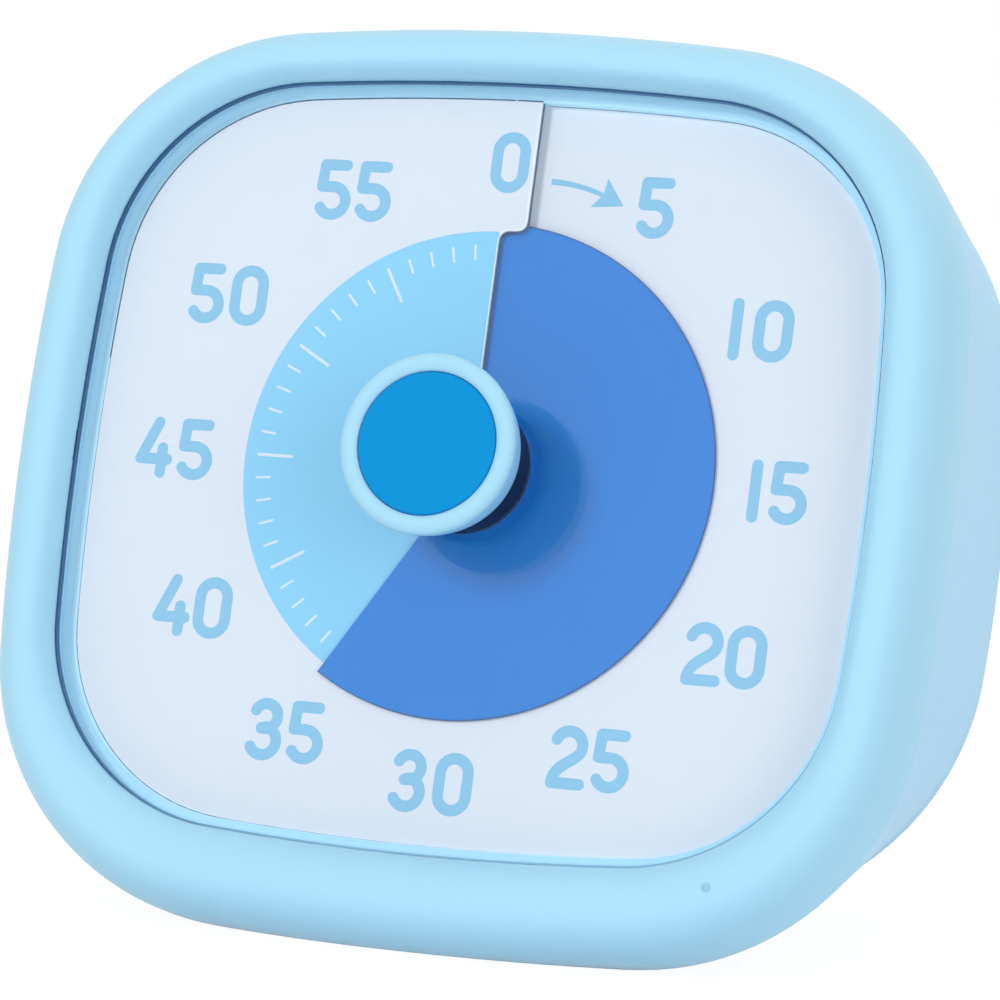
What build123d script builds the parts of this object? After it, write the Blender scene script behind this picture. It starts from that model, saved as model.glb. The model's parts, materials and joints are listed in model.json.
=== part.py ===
"""Sixty-minute visual countdown timer, 8 cm class, leaning back on a flat base.

Everything is modelled in the dial frame: x to the right, y up along the dial, z out of the
dial towards the reader, with z = 0 on the lowest point of the helical dial. At the end each
piece is stood up: the dial leans back by LEAN and the flat base lies on Z = 0.

The dial is one turn of a shallow helix with a step at the 0/60 mark. The time disc is a
thin film, cut along one radius. Its leading edge is raised and its trailing edge lowered,
so at every setting the front part lies over the dial and the rest passes through the step
and lies under it. The disc rides up the helix by DIAL_RISE per turn of the knob.
"""
import os
from math import atan2, cos, degrees, pi, radians, sin, sqrt, tan

from build123d import *

# ---- driving dimensions (mm, degrees) ------------------------------------------------
LEAN = 16.0                  # the dial leans back from upright

# body outline at its widest section
BODY_HALF_WIDTH = 40.3
BODY_TOP = 37.4
CHIN = 2.5                   # the body reaches this much further down than up
BODY_CORNER = 22.6           # corner radius of the widest outline
BODY_SIDE = 218.0            # radius of the slightly bowed sides
ROLL_OUT = 3.6               # rounded front rim: how far it comes in
ROLL_DEPTH = 7.9             # rounded front rim: how far it comes forward
SEAM_Z = -1.9                # front bezel meets rear shell, at the widest section

# rear shell
REAR_Z = -27.0               # the straight flanks end here
REAR_TAPER = 2.3             # each flank comes in by this much from SEAM_Z to REAR_Z
REAR_LIFT = 0.7              # the top flank rises by this much
REAR_CORNER = 23.5
REAR_SIDE = 140.0
REAR_ROUND = 6.5
BODY_BACK_Z = -35.0
BASE_CUT = 0.7               # how much the flat base takes off the curved bottom
WALL = 1.9
TONGUE = 2.4                 # bezel tongue inside the rear shell
JOINT_GAP = 0.15

# window
RIM_SIDE = 5.9               # from the side of the body to the lens
RIM_TOP = 5.4                # from the top of the body to the lens
WINDOW_SIDE = 240.0
LENS_TOP_Z = 2.9
LENS_THICK = 1.0
LENS_GAP = 0.2
LENS_FLANGE = 0.9
LENS_FLANGE_THICK = 0.9
LIP_THICK = 1.9
NOTCH_Y = -0.7               # slot at the left edge of the lens
NOTCH_LENGTH = 2.6
NOTCH_DEEP = 0.3

# dial
DIAL_MARGIN = 1.0            # the dial is smaller than the lens by this much all round
DIAL_THICK = 0.4
DIAL_RISE = 1.3              # height of the step, and the climb of the disc per turn
DIAL_BORE = 6.6
DIAL_OVERLAP = 4.0           # degrees by which the low end runs under the step
STEP_INNER_SHIFT = 0.0       # x of the step edge near the knob
STEP_OUTER_SHIFT = 2.3       # x of the step edge on the tab that carries the zero
STEP_CORNER_Y = 20.1         # the edge moves out here
STEP_ROUND = 0.8

# time disc
FILM_THICK = 0.15
FILM_RADIUS = 20.85
FILM_CLEARANCE = 0.15        # between film and dial, on both faces
HUB_RADIUS = 5.4
MINUTES_SET = 35.3

# knob
KNOB_RADIUS = 7.4
KNOB_REAR_RADIUS = 6.3
KNOB_FRONT_Z = 12.1
KNOB_SEAM_Z = 11.0
KNOB_REAR_Z = 6.0
CAP_RADIUS = 5.86
CAP_Z = 11.8
CAP_THICK = 1.2
COLLAR_RADIUS = 5.6
SPINDLE_RADIUS = 2.0
SPINDLE_FLAT = 1.5           # distance of the D flat from the axis
RUNNING_FIT = 0.05
FREE_GAP = 0.3

# inner frame
FRAME_FLOOR_Z = -1.6
FRAME_THICK = 1.6
FRAME_WALL = 1.6
POST_RADIUS = 1.5
POST_COUNT = 8

# movement
MOVEMENT_WIDTH = 44.0
MOVEMENT_HEIGHT = 34.0
MOVEMENT_DEPTH = 10.5
MOVEMENT_WALL = 1.2
MOVEMENT_CORNER = 5.0
EAR_SHIFT = 6.0              # ears off the middle height, one up and one down
EAR_WIDTH = 6.2
EAR_HEIGHT = 5.0
EAR_CORNER = 2.0
EAR_THICK = 1.5
WHEEL_TEETH = 60
WHEEL_MODULE = 0.4
WHEEL_THICK = 0.8
WHEEL_Z = -7.4

# screws
HOUSING_SCREW_SIDE = 15.8    # from the side of the body to the screw
HOUSING_SCREW_TOP = 12.4     # from the top of the body
HOUSING_SCREW_BOTTOM = 17.3  # from the bottom of the body
HOUSING_SCREW_LENGTH = 8.0
SCREW_RADIUS = 1.25
SCREW_HEAD_RADIUS = 2.5
SCREW_HEAD = 1.6
SCREW_SEAT_Z = -18.5
SCREW_TUBE_WALL = 1.4
BOSS_RADIUS = 3.2
SMALL_SCREW_RADIUS = 0.8
SMALL_HEAD_RADIUS = 1.5
SMALL_HEAD = 1.0
FRAME_SCREW_LENGTH = 4.5
MOVEMENT_SCREW_LENGTH = 2.5
BOARD_SCREW_LENGTH = 4.0
SMALL_BOSS = 1.7
BEZEL_BOSS = 1.4
BEZEL_BOSS_INSET = 3.3       # from the body outline to the middle of a bezel boss

# battery bay
CELL_RADIUS = 7.1
CELL_LENGTH = 49.2
CELL_NUB_RADIUS = 2.75
CELL_NUB = 1.3
CELL_Y = -10.0
BAY_WALL = 1.2
BAY_CORNER = 0.6
CONTACT_ROOM = 2.6
CONTACT_THICK = 0.4
CONTACT_HALF_HEIGHT = 5.5
CONTACT_WIDTH = 7.0
CONTACT_FOOT = 2.6           # half the height at which the bow leaves the wall
CONTACT_TIP = 0.8            # half the height of the flat that touches the cell
DOOR_THICK = 1.6
DOOR_GAP = 0.3
DOOR_CORNER = 0.8
DOOR_PIN_RADIUS = 0.5
DOOR_PIN_LENGTH = 0.8
FINGER_WIDTH = 8.0
FINGER_THICK = 0.8
FINGER_LENGTH = 1.8
THUMB_WIDTH = 14.0           # thumb hollow above the door
THUMB_REACH = 4.0
THUMB_DEPTH = 1.0

# control board
BOARD_WIDTH = 38.0
BOARD_HEIGHT = 22.0
BOARD_Y = 13.5
BOARD_THICK = 1.2
BOARD_STANDOFF = 3.8
BOARD_CORNER = 1.0
BUZZER_IN = 10.4             # from the left end of the board to the sounder
BUZZER_RADIUS = 6.0
CHIP_IN = 15.0               # from the left end of the board to the chip
CHIP_RADIUS = 4.0
CHIP_HEIGHT = 1.2
CRYSTAL_LENGTH = 6.0
CRYSTAL_RADIUS = 1.0
SWITCH_IN = 11.0             # from the right end of the board to the switch
SWITCH_LENGTH = 11.0
SWITCH_HEIGHT = 5.0
SWITCH_TRAVEL = 2.0          # each way from the middle position
SLIDER_LENGTH = 3.6
SLIDER_HEIGHT = 3.0
SLIDER_PROUD = 0.8
SOUND_HOLE_RADIUS = 0.7

# indicator
LED_ANGLE = -61.0
LED_INSET = 4.2              # from the body outline to the lamp
LED_RADIUS = 0.8
LED_LENGTH = 2.4
LED_TOP_Z = 2.8
PIPE_RADIUS = 0.4

# ---- derived values -------------------------------------------------------------------
BODY_BOTTOM = BODY_TOP + CHIN
LENS_HALF_WIDTH = BODY_HALF_WIDTH - RIM_SIDE
LENS_HALF_HEIGHT = BODY_TOP - RIM_TOP
WINDOW_CORNER = BODY_CORNER - RIM_TOP
DIAL_HALF_WIDTH = LENS_HALF_WIDTH - DIAL_MARGIN
LENS_BACK_Z = LENS_TOP_Z - LENS_THICK
LENS_FLANGE_Z = LENS_BACK_Z - LENS_FLANGE_THICK
CREST_Z = SEAM_Z + ROLL_DEPTH
DIAL_MID_Z = -DIAL_THICK / 2
FILM_OFFSET = (DIAL_THICK + FILM_THICK) / 2 + FILM_CLEARANCE
FILM_RAMP = 360 * FILM_OFFSET / DIAL_RISE
FILM_SET_ANGLE = 6 * MINUTES_SET
FILM_Z = DIAL_MID_Z + DIAL_RISE * FILM_SET_ANGLE / 360
HUB_HEIGHT = 2 * FILM_OFFSET + FILM_THICK + 0.1
FRAME_BACK_Z = FRAME_FLOOR_Z - FRAME_THICK
BACK_INNER_Z = BODY_BACK_Z + WALL
CELL_Z = BODY_BACK_Z + DOOR_THICK + FREE_GAP + CELL_RADIUS
BAY_LENGTH = CELL_LENGTH + 2 * CONTACT_ROOM
BAY_HEIGHT = 2 * CELL_RADIUS + 2 * FREE_GAP
BAY_TOP_Z = CELL_Z + CELL_RADIUS + FREE_GAP
BUZZER_X = BUZZER_IN - BOARD_WIDTH / 2
CHIP_X = CHIP_IN - BOARD_WIDTH / 2
SWITCH_X = BOARD_WIDTH / 2 - SWITCH_IN
BOARD_BACK_Z = BACK_INNER_Z + BOARD_STANDOFF
BOARD_FRONT_Z = BOARD_BACK_Z + BOARD_THICK
SCREW_TUBE_RADIUS = SCREW_HEAD_RADIUS + FREE_GAP + SCREW_TUBE_WALL
HUGE = 3 * BODY_HALF_WIDTH   # larger than the whole body
SPINDLE_END_Z = FRAME_BACK_Z - MOVEMENT_DEPTH + MOVEMENT_WALL + 0.3


# ---- shared shapes --------------------------------------------------------------------
def arc_between(centre, radius, start, end):
    """Arc about centre from one point to another, the short way round."""
    first = atan2(start[1] - centre[1], start[0] - centre[0])
    last = atan2(end[1] - centre[1], end[0] - centre[0])
    size = (degrees(last - first) + 180) % 360 - 180
    return CenterArc(centre, radius, degrees(first), size)


def corner_centre(half_width, half_height, corner, side):
    """Centre of the corner arc that is tangent to both bowed sides."""
    right = (half_width - side, 0)
    upper = (0, half_height - side)
    reach = side - corner
    middle = ((right[0] + upper[0]) / 2, (right[1] + upper[1]) / 2)
    gap = sqrt((upper[0] - right[0]) ** 2 + (upper[1] - right[1]) ** 2)
    rise = sqrt(reach ** 2 - (gap / 2) ** 2)
    across = (upper[0] - right[0]) / gap
    upright = (upper[1] - right[1]) / gap
    return middle[0] - upright * rise, middle[1] + across * rise


def tangent_point(side_centre, corner_point, side):
    """Where a bowed side runs into its corner."""
    across = corner_point[0] - side_centre[0]
    upright = corner_point[1] - side_centre[1]
    scale = side / sqrt(across ** 2 + upright ** 2)
    return side_centre[0] + across * scale, side_centre[1] + upright * scale


def rounded_square(half_width, top, bottom, corner, side):
    """Four bowed sides and four corners, all tangent, about the dial centre."""
    edges = []
    joints = []
    for across, height in ((1, top), (-1, top), (-1, -bottom), (1, -bottom)):
        upright = 1 if height > 0 else -1
        centre = corner_centre(half_width, abs(height), corner, side)
        flank = tangent_point((half_width - side, 0), centre, side)
        level = tangent_point((0, abs(height) - side), centre, side)
        centre = (across * centre[0], upright * centre[1])
        flank = (across * flank[0], upright * flank[1])
        level = (across * level[0], upright * level[1])
        pair = (flank, level) if across * upright > 0 else (level, flank)
        joints.append(pair)
        edges.append(arc_between(centre, corner, *pair))
    side_centres = (
        (0, top - side),
        (side - half_width, 0),
        (0, side - bottom),
        (half_width - side, 0),
    )
    ordered = []
    for step in range(4):
        ordered.append(edges[step])
        end = joints[step][1]
        start = joints[(step + 1) % 4][0]
        ordered.append(arc_between(side_centres[step], side, end, start))
    return make_face(Wire(ordered))


def window_face(inset):
    """Outline of the lens, brought in by inset all round."""
    return rounded_square(
        LENS_HALF_WIDTH - inset,
        LENS_HALF_HEIGHT - inset,
        LENS_HALF_HEIGHT - inset,
        WINDOW_CORNER - inset,
        WINDOW_SIDE - inset,
    )


def window(inset, z, height):
    """Straight block with the outline of the lens, brought in by inset."""
    return Pos(0, 0, z) * extrude(window_face(inset), height)


def body_face(inset):
    """Outline of the body where it is widest, brought in by inset all round."""
    return rounded_square(
        BODY_HALF_WIDTH - inset,
        BODY_TOP - inset,
        BODY_BOTTOM - inset,
        BODY_CORNER - inset,
        BODY_SIDE - inset,
    )


def body_section(z, inset):
    """Outline of the body at height z, brought in by inset."""
    if z >= SEAM_Z:
        share = min(1.0, (z - SEAM_Z) / ROLL_DEPTH)
        roll = ROLL_OUT * (1 - sqrt(1 - share * share))
        return Pos(0, 0, z) * body_face(roll + inset)
    share = min(1.0, (SEAM_Z - z) / (SEAM_Z - REAR_Z))
    down = min(1.0, max(0.0, (REAR_Z - z) / (REAR_Z - BODY_BACK_Z)))
    inset = inset + REAR_ROUND * (1 - sqrt(1 - down * down))
    slope = (SEAM_Z - REAR_Z) * tan(radians(LEAN))
    return Pos(0, 0, z) * rounded_square(
        BODY_HALF_WIDTH - REAR_TAPER * share - inset,
        BODY_TOP + REAR_LIFT * share - inset,
        BODY_BOTTOM - slope * share - inset,
        BODY_CORNER + (REAR_CORNER - BODY_CORNER) * share - inset,
        BODY_SIDE + (REAR_SIDE - BODY_SIDE) * share - inset,
    )


def body_solid(levels, inset, ruled=False):
    """Solid through the body outlines at the given heights."""
    return loft([body_section(z, inset) for z in levels], ruled=ruled)


def quarter(z_start, z_end, steps):
    """Heights at even angles along a quarter round from z_start to z_end."""
    return [
        z_start + (z_end - z_start) * sin(radians(90 * step / steps))
        for step in range(steps + 1)
    ]


def rear_solid(inset, steps, ruled=False):
    """The part of the body behind the seam: straight flanks and rounded back edge."""
    flanks = body_solid([SEAM_Z, REAR_Z], inset, ruled=True)
    return flanks + body_solid(quarter(REAR_Z, BODY_BACK_Z, steps), inset, ruled)


def tube(outer, inner, z_low, z_high):
    """Straight tube or, with no inner radius, a plain cylinder along z."""
    solid = Pos(0, 0, z_low) * extrude(Circle(outer), z_high - z_low)
    if inner > 0:
        solid -= Pos(0, 0, z_low - 1) * extrude(Circle(inner), z_high - z_low + 2)
    return solid


def block(width, height, corner, z_low, z_high):
    """Rounded plate centred on the z axis."""
    return Pos(0, 0, z_low) * extrude(RectangleRounded(width, height, corner), z_high - z_low)


def radial_section(angle, z, r_in, r_out, thick):
    """Thin rectangle standing on the radius at angle, clockwise from the top."""
    turn = radians(angle)
    plane = Plane(
        origin=(0, 0, z),
        x_dir=(sin(turn), cos(turn), 0),
        z_dir=(-cos(turn), sin(turn), 0),
    )
    return plane * Pos((r_in + r_out) / 2, 0) * Rectangle(r_out - r_in, thick)


def helix_plate(start, end, z_start, z_end, r_in, r_out, thick):
    """Thin plate that climbs evenly from z_start to z_end between two angles."""
    steps = max(2, round(abs(end - start) / 24))
    sections = []
    for step in range(steps + 1):
        share = step / steps
        angle = start + (end - start) * share
        z = z_start + (z_end - z_start) * share
        sections.append(radial_section(angle, z, r_in, r_out, thick))
    return loft(sections, ruled=True)


def dial_height(angle):
    """Middle of the dial's thickness at an angle clockwise from the top."""
    return DIAL_MID_Z + DIAL_RISE * angle / 360


def screw(radius, head_radius, head, length):
    """Plain screw pointing to +z, with the underside of its head at z = 0."""
    return tube(radius, 0, 0, length) + tube(head_radius, 0, -head, 0)


# ---- housing --------------------------------------------------------------------------
def housing_screw_places():
    """The four screws that hold the two shells together."""
    x = BODY_HALF_WIDTH - HOUSING_SCREW_SIDE
    top = BODY_TOP - HOUSING_SCREW_TOP
    bottom = HOUSING_SCREW_BOTTOM - BODY_BOTTOM
    return [(x, top), (-x, top), (-x, bottom), (x, bottom)]


def bezel_boss_places():
    """Bosses in the hollow rim, at the four corners."""
    return [rim_place(turn, BEZEL_BOSS_INSET) for turn in (42, 138, 227, 313)]


def rim_place(turn, inset):
    """Point on the body outline brought in by inset, on a corner, at an angle from +x."""
    height = BODY_TOP if sin(radians(turn)) > 0 else BODY_BOTTOM
    x, y = corner_centre(BODY_HALF_WIDTH, height, BODY_CORNER, BODY_SIDE)
    across = x if cos(radians(turn)) > 0 else -x
    upright = y if sin(radians(turn)) > 0 else -y
    reach = BODY_CORNER - inset
    return across + reach * cos(radians(turn)), upright + reach * sin(radians(turn))


def led_place():
    """Where the indicator sits on the lower right of the rim."""
    return rim_place(LED_ANGLE, LED_INSET)


def front_bezel():
    """Rounded front rim: outer flank, crest, inner lip over the lens, tongue and bosses."""
    rim = above_base(body_solid(quarter(SEAM_Z, CREST_Z, 6), 0), 0)
    # inner flank from the crest down to the lens
    flank = []
    for turn in range(0, 91, 30):
        z = LENS_TOP_Z + (CREST_Z - LENS_TOP_Z) * sin(radians(turn))
        flank.append(Pos(0, 0, z) * flank_face(1 - cos(radians(turn))))
    rim -= loft(flank)
    rim -= window(-LENS_GAP, SEAM_Z, LENS_TOP_Z - SEAM_Z)
    # hollow behind the crest, and everything behind the lip
    pocket_top = CREST_Z - WALL - 0.3
    pocket = body_solid([SEAM_Z, SEAM_Z + ROLL_DEPTH / 2, pocket_top], WALL, ruled=True)
    lip = window(-LENS_GAP - LIP_THICK, LENS_BACK_Z, pocket_top)
    rim -= pocket - lip
    # tongue
    tongue = Pos(0, 0, SEAM_Z - TONGUE) * extrude(body_face(WALL / 2 + JOINT_GAP), TONGUE)
    tongue -= Pos(0, 0, SEAM_Z - TONGUE - 1) * extrude(body_face(WALL), TONGUE + 2)
    for x, y in bezel_boss_places():
        room = SMALL_HEAD_RADIUS + FREE_GAP
        tongue -= Pos(x, y, 0) * tube(room, 0, SEAM_Z - TONGUE - 1, SEAM_Z)
    rim += above_base(tongue, WALL + JOINT_GAP)
    for x, y in bezel_boss_places():
        boss = Pos(x, y, 0) * tube(BEZEL_BOSS, 0, FRAME_FLOOR_Z, pocket_top + 0.2)
        hole = Pos(x, y, 0) * tube(SMALL_SCREW_RADIUS, 0, FRAME_FLOOR_Z - 1, pocket_top - 1)
        rim = rim + boss - hole
    x, y = led_place()
    rim -= Pos(x, y, 0) * tube(PIPE_RADIUS, 0, pocket_top - 1, CREST_Z + 1)
    # slot beside the lens, for lifting it out
    notch_x = -LENS_HALF_WIDTH - LENS_GAP
    notch = Pos(notch_x, NOTCH_Y, LENS_TOP_Z) * Box(2 * NOTCH_DEEP, NOTCH_LENGTH, 2 * NOTCH_DEEP)
    return rim - notch


def flank_face(share):
    """Outline between the lens (share 0) and the crest of the rim (share 1)."""
    crest = ROLL_OUT + 0.15
    lens = -LENS_GAP
    inner = (
        LENS_HALF_WIDTH - lens,
        LENS_HALF_HEIGHT - lens,
        LENS_HALF_HEIGHT - lens,
        WINDOW_CORNER - lens,
        WINDOW_SIDE - lens,
    )
    outer = (
        BODY_HALF_WIDTH - crest,
        BODY_TOP - crest,
        BODY_BOTTOM - crest,
        BODY_CORNER - crest,
        BODY_SIDE - crest,
    )
    return rounded_square(*[low + (high - low) * share for low, high in zip(inner, outer)])


def base_cutter():
    """Everything below the flat base."""
    middle = Pos(0, -BODY_BOTTOM + BASE_CUT, SEAM_Z) * Rot(LEAN, 0, 0)
    return middle * Pos(0, -HUGE / 2, 0) * Box(HUGE, HUGE, HUGE)


def above_base(solid, gap):
    """What is left of a solid at least gap above the flat base."""
    return solid - Pos(0, gap / cos(radians(LEAN)), 0) * base_cutter()


def rear_shell():
    """Tapered back with flat base, screw tubes, battery bay, sound holes and switch slot."""
    shell = above_base(rear_solid(0, 4), 0)
    hollow = above_base(rear_solid(WALL, 3, ruled=True), WALL)
    hollow -= Pos(0, 0, BACK_INNER_Z - HUGE / 2) * Box(HUGE, HUGE, HUGE)
    # posts, bay and tubes grow out of the back wall
    inside = Part()
    bay_low = BACK_INNER_Z - WALL / 2
    bay = Pos(0, CELL_Y, 0) * block(
        BAY_LENGTH + 2 * BAY_WALL,
        BAY_HEIGHT + 2 * BAY_WALL,
        DOOR_CORNER,
        bay_low,
        BAY_TOP_Z + BAY_WALL,
    )
    inside += bay
    # collar round the door recess
    inside += Pos(0, CELL_Y, 0) * block(
        BAY_LENGTH + 4 * BAY_WALL,
        BAY_HEIGHT + 4 * BAY_WALL,
        DOOR_CORNER + BAY_WALL,
        bay_low,
        BACK_INNER_Z + BAY_WALL,
    )
    for x, y in housing_screw_places():
        post = tube(SCREW_TUBE_RADIUS, 0, BODY_BACK_Z, SCREW_SEAT_Z + SCREW_TUBE_WALL)
        inside += Pos(x, y, 0) * post
    for x, y in board_screw_places():
        inside += Pos(x, y, 0) * tube(SMALL_BOSS, 0, bay_low, BOARD_BACK_Z)
    solid_body = shell & inside
    shell = shell - hollow + solid_body
    # bay room, door recess and its pin notches
    door_height = BAY_HEIGHT + 2 * BAY_WALL
    shell -= Pos(0, CELL_Y, 0) * block(
        BAY_LENGTH, BAY_HEIGHT, BAY_CORNER, BODY_BACK_Z - 1, BAY_TOP_Z
    )
    shell -= Pos(0, CELL_Y, 0) * block(
        BAY_LENGTH + 2 * BAY_WALL,
        door_height,
        DOOR_CORNER,
        BODY_BACK_Z - 1,
        BODY_BACK_Z + DOOR_THICK + DOOR_GAP,
    )
    for x, y in housing_screw_places():
        place = Pos(x, y, 0)
        shell -= place * tube(SCREW_HEAD_RADIUS + FREE_GAP, 0, BODY_BACK_Z - 1, SCREW_SEAT_Z)
        shell -= place * tube(SCREW_RADIUS + 0.15, 0, SCREW_SEAT_Z - 1, SEAM_Z)
    for x, y in board_screw_places():
        shell -= Pos(x, y, 0) * tube(SMALL_SCREW_RADIUS, 0, BACK_INNER_Z + 0.4, BOARD_FRONT_Z)
    y, z = door_axis()
    pins = BAY_LENGTH + 2 * BAY_WALL + 2 * DOOR_PIN_LENGTH + 2 * FREE_GAP
    hinge = Pos(0, y, z) * Rot(0, 90, 0)
    shell -= hinge * Cylinder(DOOR_PIN_RADIUS + RUNNING_FIT, pins)
    # thumb hollow above the door: a shallow slice of a lying cylinder
    reach = (THUMB_REACH ** 2 + THUMB_DEPTH ** 2) / (2 * THUMB_DEPTH)
    thumb_y = CELL_Y + door_height / 2
    scoop = Pos(0, thumb_y, BODY_BACK_Z + THUMB_DEPTH - reach) * Rot(0, 90, 0)
    shell -= scoop * Cylinder(reach, THUMB_WIDTH)
    # switch slot and sound holes
    slot = 2 * SWITCH_TRAVEL + SLIDER_LENGTH + 2 * DOOR_GAP
    shell -= Pos(SWITCH_X, BOARD_Y, 0) * block(
        slot, SLIDER_HEIGHT + 2 * DOOR_GAP, 0.5, BODY_BACK_Z - 1, BACK_INNER_Z + 1
    )
    for x, y in sound_hole_places():
        shell -= Pos(x, y, 0) * tube(SOUND_HOLE_RADIUS, 0, BODY_BACK_Z - 1, BACK_INNER_Z + 1)
    # rebate for the bezel tongue, left out where the base wall runs
    rebate = Pos(0, 0, SEAM_Z - TONGUE - JOINT_GAP) * extrude(
        body_face(WALL / 2), TONGUE + JOINT_GAP + 1
    )
    return shell - above_base(rebate, WALL)


def sound_hole_places():
    """One hole in the middle of the buzzer and a ring of six about it."""
    places = [(BUZZER_X, BOARD_Y)]
    for step in range(6):
        turn = radians(60 * step)
        reach = BUZZER_RADIUS * 0.55
        places.append((BUZZER_X + reach * cos(turn), BOARD_Y + reach * sin(turn)))
    return places


def battery_door():
    """Door with a barrel along its lower edge, two pivot pins and a snap finger."""
    width = BAY_LENGTH + 2 * BAY_WALL - 2 * DOOR_GAP
    height = BAY_HEIGHT + 2 * BAY_WALL - 2 * DOOR_GAP
    plate = Pos(0, CELL_Y, 0) * block(
        width, height, DOOR_CORNER - DOOR_GAP, BODY_BACK_Z, BODY_BACK_Z + DOOR_THICK
    )
    y, z = door_axis()
    plate -= Pos(0, y - DOOR_THICK, z) * Box(width + 1, 2 * DOOR_THICK, 2 * DOOR_THICK)
    across = Pos(0, y, z) * Rot(0, 90, 0)
    plate += across * Cylinder(DOOR_THICK / 2, width - DOOR_CORNER)
    plate += across * Cylinder(DOOR_PIN_RADIUS, width + 2 * DOOR_GAP + 2 * DOOR_PIN_LENGTH)
    # snap finger at the upper edge
    finger_y = CELL_Y + BAY_HEIGHT / 2 - DOOR_GAP - FINGER_THICK / 2
    finger_z = BODY_BACK_Z + DOOR_THICK + FINGER_LENGTH / 2 - 0.1
    finger = Pos(0, finger_y, finger_z) * Box(FINGER_WIDTH, FINGER_THICK, FINGER_LENGTH + 0.2)
    return plate + finger


def door_axis():
    """Axis of the door, along x: its y and z."""
    height = BAY_HEIGHT + 2 * BAY_WALL - 2 * DOOR_GAP
    return CELL_Y - height / 2 + DOOR_THICK / 2, BODY_BACK_Z + DOOR_THICK / 2


def window_lens():
    """Clear flat window with a flange under the lip and a round hole for the knob."""
    lens = window(0, LENS_BACK_Z, LENS_THICK)
    flange = window(-LENS_FLANGE, LENS_FLANGE_Z, LENS_FLANGE_THICK)
    flange -= window(0.6, LENS_FLANGE_Z - 1, LENS_FLANGE_THICK + 2)
    lens = lens + flange
    return lens - tube(COLLAR_RADIUS + FREE_GAP, 0, LENS_BACK_Z - 1, LENS_TOP_Z + 1)


# ---- dial and disc ----------------------------------------------------------------------
def step_region():
    """Plan of what lies to the right of the raised edge at the 0/60 step."""
    reach = 2 * DIAL_HALF_WIDTH
    profile = Polyline(
        (STEP_INNER_SHIFT, 0),
        (STEP_INNER_SHIFT, STEP_CORNER_Y),
        (STEP_OUTER_SHIFT, STEP_CORNER_Y),
        (STEP_OUTER_SHIFT, reach),
        (reach, reach),
        (reach, 0),
        close=True,
    )
    face = make_face(profile)
    corners = [
        vertex
        for vertex in face.vertices()
        if abs(vertex.Y - STEP_CORNER_Y) < 0.01 and vertex.X < STEP_OUTER_SHIFT + 1
    ]
    return fillet(corners, STEP_ROUND)


def dial_plate():
    """One turn of a shallow helix, trimmed to the window, with the stepped raised edge."""
    reach = 1.5 * DIAL_HALF_WIDTH
    overhang = 14.0
    low = helix_plate(
        -DIAL_OVERLAP,
        180,
        dial_height(-DIAL_OVERLAP),
        dial_height(180),
        DIAL_BORE,
        reach,
        DIAL_THICK,
    )
    high = helix_plate(
        180,
        360 + overhang,
        dial_height(180),
        dial_height(360 + overhang),
        DIAL_BORE,
        reach,
        DIAL_THICK,
    )
    high -= Pos(0, 0, dial_height(270)) * extrude(step_region(), DIAL_RISE)
    trim = window(LENS_HALF_WIDTH - DIAL_HALF_WIDTH, -DIAL_RISE, 4 * DIAL_RISE)
    return (low + high) & trim


def film_section(after):
    """Height of the film above its hub's middle, by the angle after its leading edge."""
    if after < FILM_RAMP:
        return FILM_OFFSET * (1 - after / FILM_RAMP)
    if after > 360 - FILM_RAMP:
        return -FILM_OFFSET * (1 - (360 - after) / FILM_RAMP)
    return 0.0


def time_disc():
    """Film disc cut along one radius: raised leading edge, flat middle, lowered end."""
    cut = 0.15
    marks = [cut, FILM_RAMP, 360 - FILM_RAMP, 360 - cut]
    disc = None
    for first, last in zip(marks, marks[1:]):
        piece = helix_plate(
            FILM_SET_ANGLE - first,
            FILM_SET_ANGLE - last,
            FILM_Z + film_section(first),
            FILM_Z + film_section(last),
            HUB_RADIUS - 0.2,
            FILM_RADIUS + 2,
            FILM_THICK,
        )
        disc = piece if disc is None else disc + piece
    span = 4 * DIAL_RISE
    keep = tube(FILM_RADIUS, HUB_RADIUS, FILM_Z - span, FILM_Z + span)
    return disc & keep


def d_shaft(radius, flat, z_low, z_high):
    """Round bar with one flat."""
    bar = tube(radius, 0, z_low, z_high)
    cutter = Box(4 * radius, 2 * radius, z_high - z_low + 2)
    return bar - Pos(0, flat + radius, (z_low + z_high) / 2) * cutter


def disc_hub():
    """Hub of the time disc, keyed on the flat of the spindle and free to slide along it."""
    hub = tube(HUB_RADIUS, 0, FILM_Z - HUB_HEIGHT / 2, FILM_Z + HUB_HEIGHT / 2)
    return hub - Rot(0, 0, -FILM_SET_ANGLE) * d_shaft(
        SPINDLE_RADIUS + RUNNING_FIT, SPINDLE_FLAT + RUNNING_FIT, FILM_Z - 3, FILM_Z + 3
    )


# ---- knob -------------------------------------------------------------------------------
def knob_ring():
    """Outer ring of the knob: rounded front rim, waisted flank, seat for the cap."""
    seat_z = CAP_Z - CAP_THICK
    rim_x = (KNOB_RADIUS + CAP_RADIUS) / 2
    with BuildPart() as ring:
        with BuildSketch(Plane.XZ):
            with BuildLine():
                flank = TangentArc(
                    (KNOB_RADIUS, KNOB_SEAM_Z),
                    (KNOB_REAR_RADIUS, KNOB_REAR_Z),
                    tangent=(0, -1),
                )
                rim = ThreePointArc(
                    (KNOB_RADIUS, KNOB_SEAM_Z),
                    (rim_x + 0.1, KNOB_FRONT_Z),
                    (CAP_RADIUS + 0.05, CAP_Z - 0.1),
                )
                Polyline(
                    rim @ 1,
                    (CAP_RADIUS + 0.05, seat_z),
                    (SPINDLE_RADIUS + 1.2, seat_z),
                    (SPINDLE_RADIUS + 1.2, KNOB_REAR_Z),
                    flank @ 1,
                )
            make_face()
        revolve(axis=Axis.Z)
    return ring.part


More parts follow.
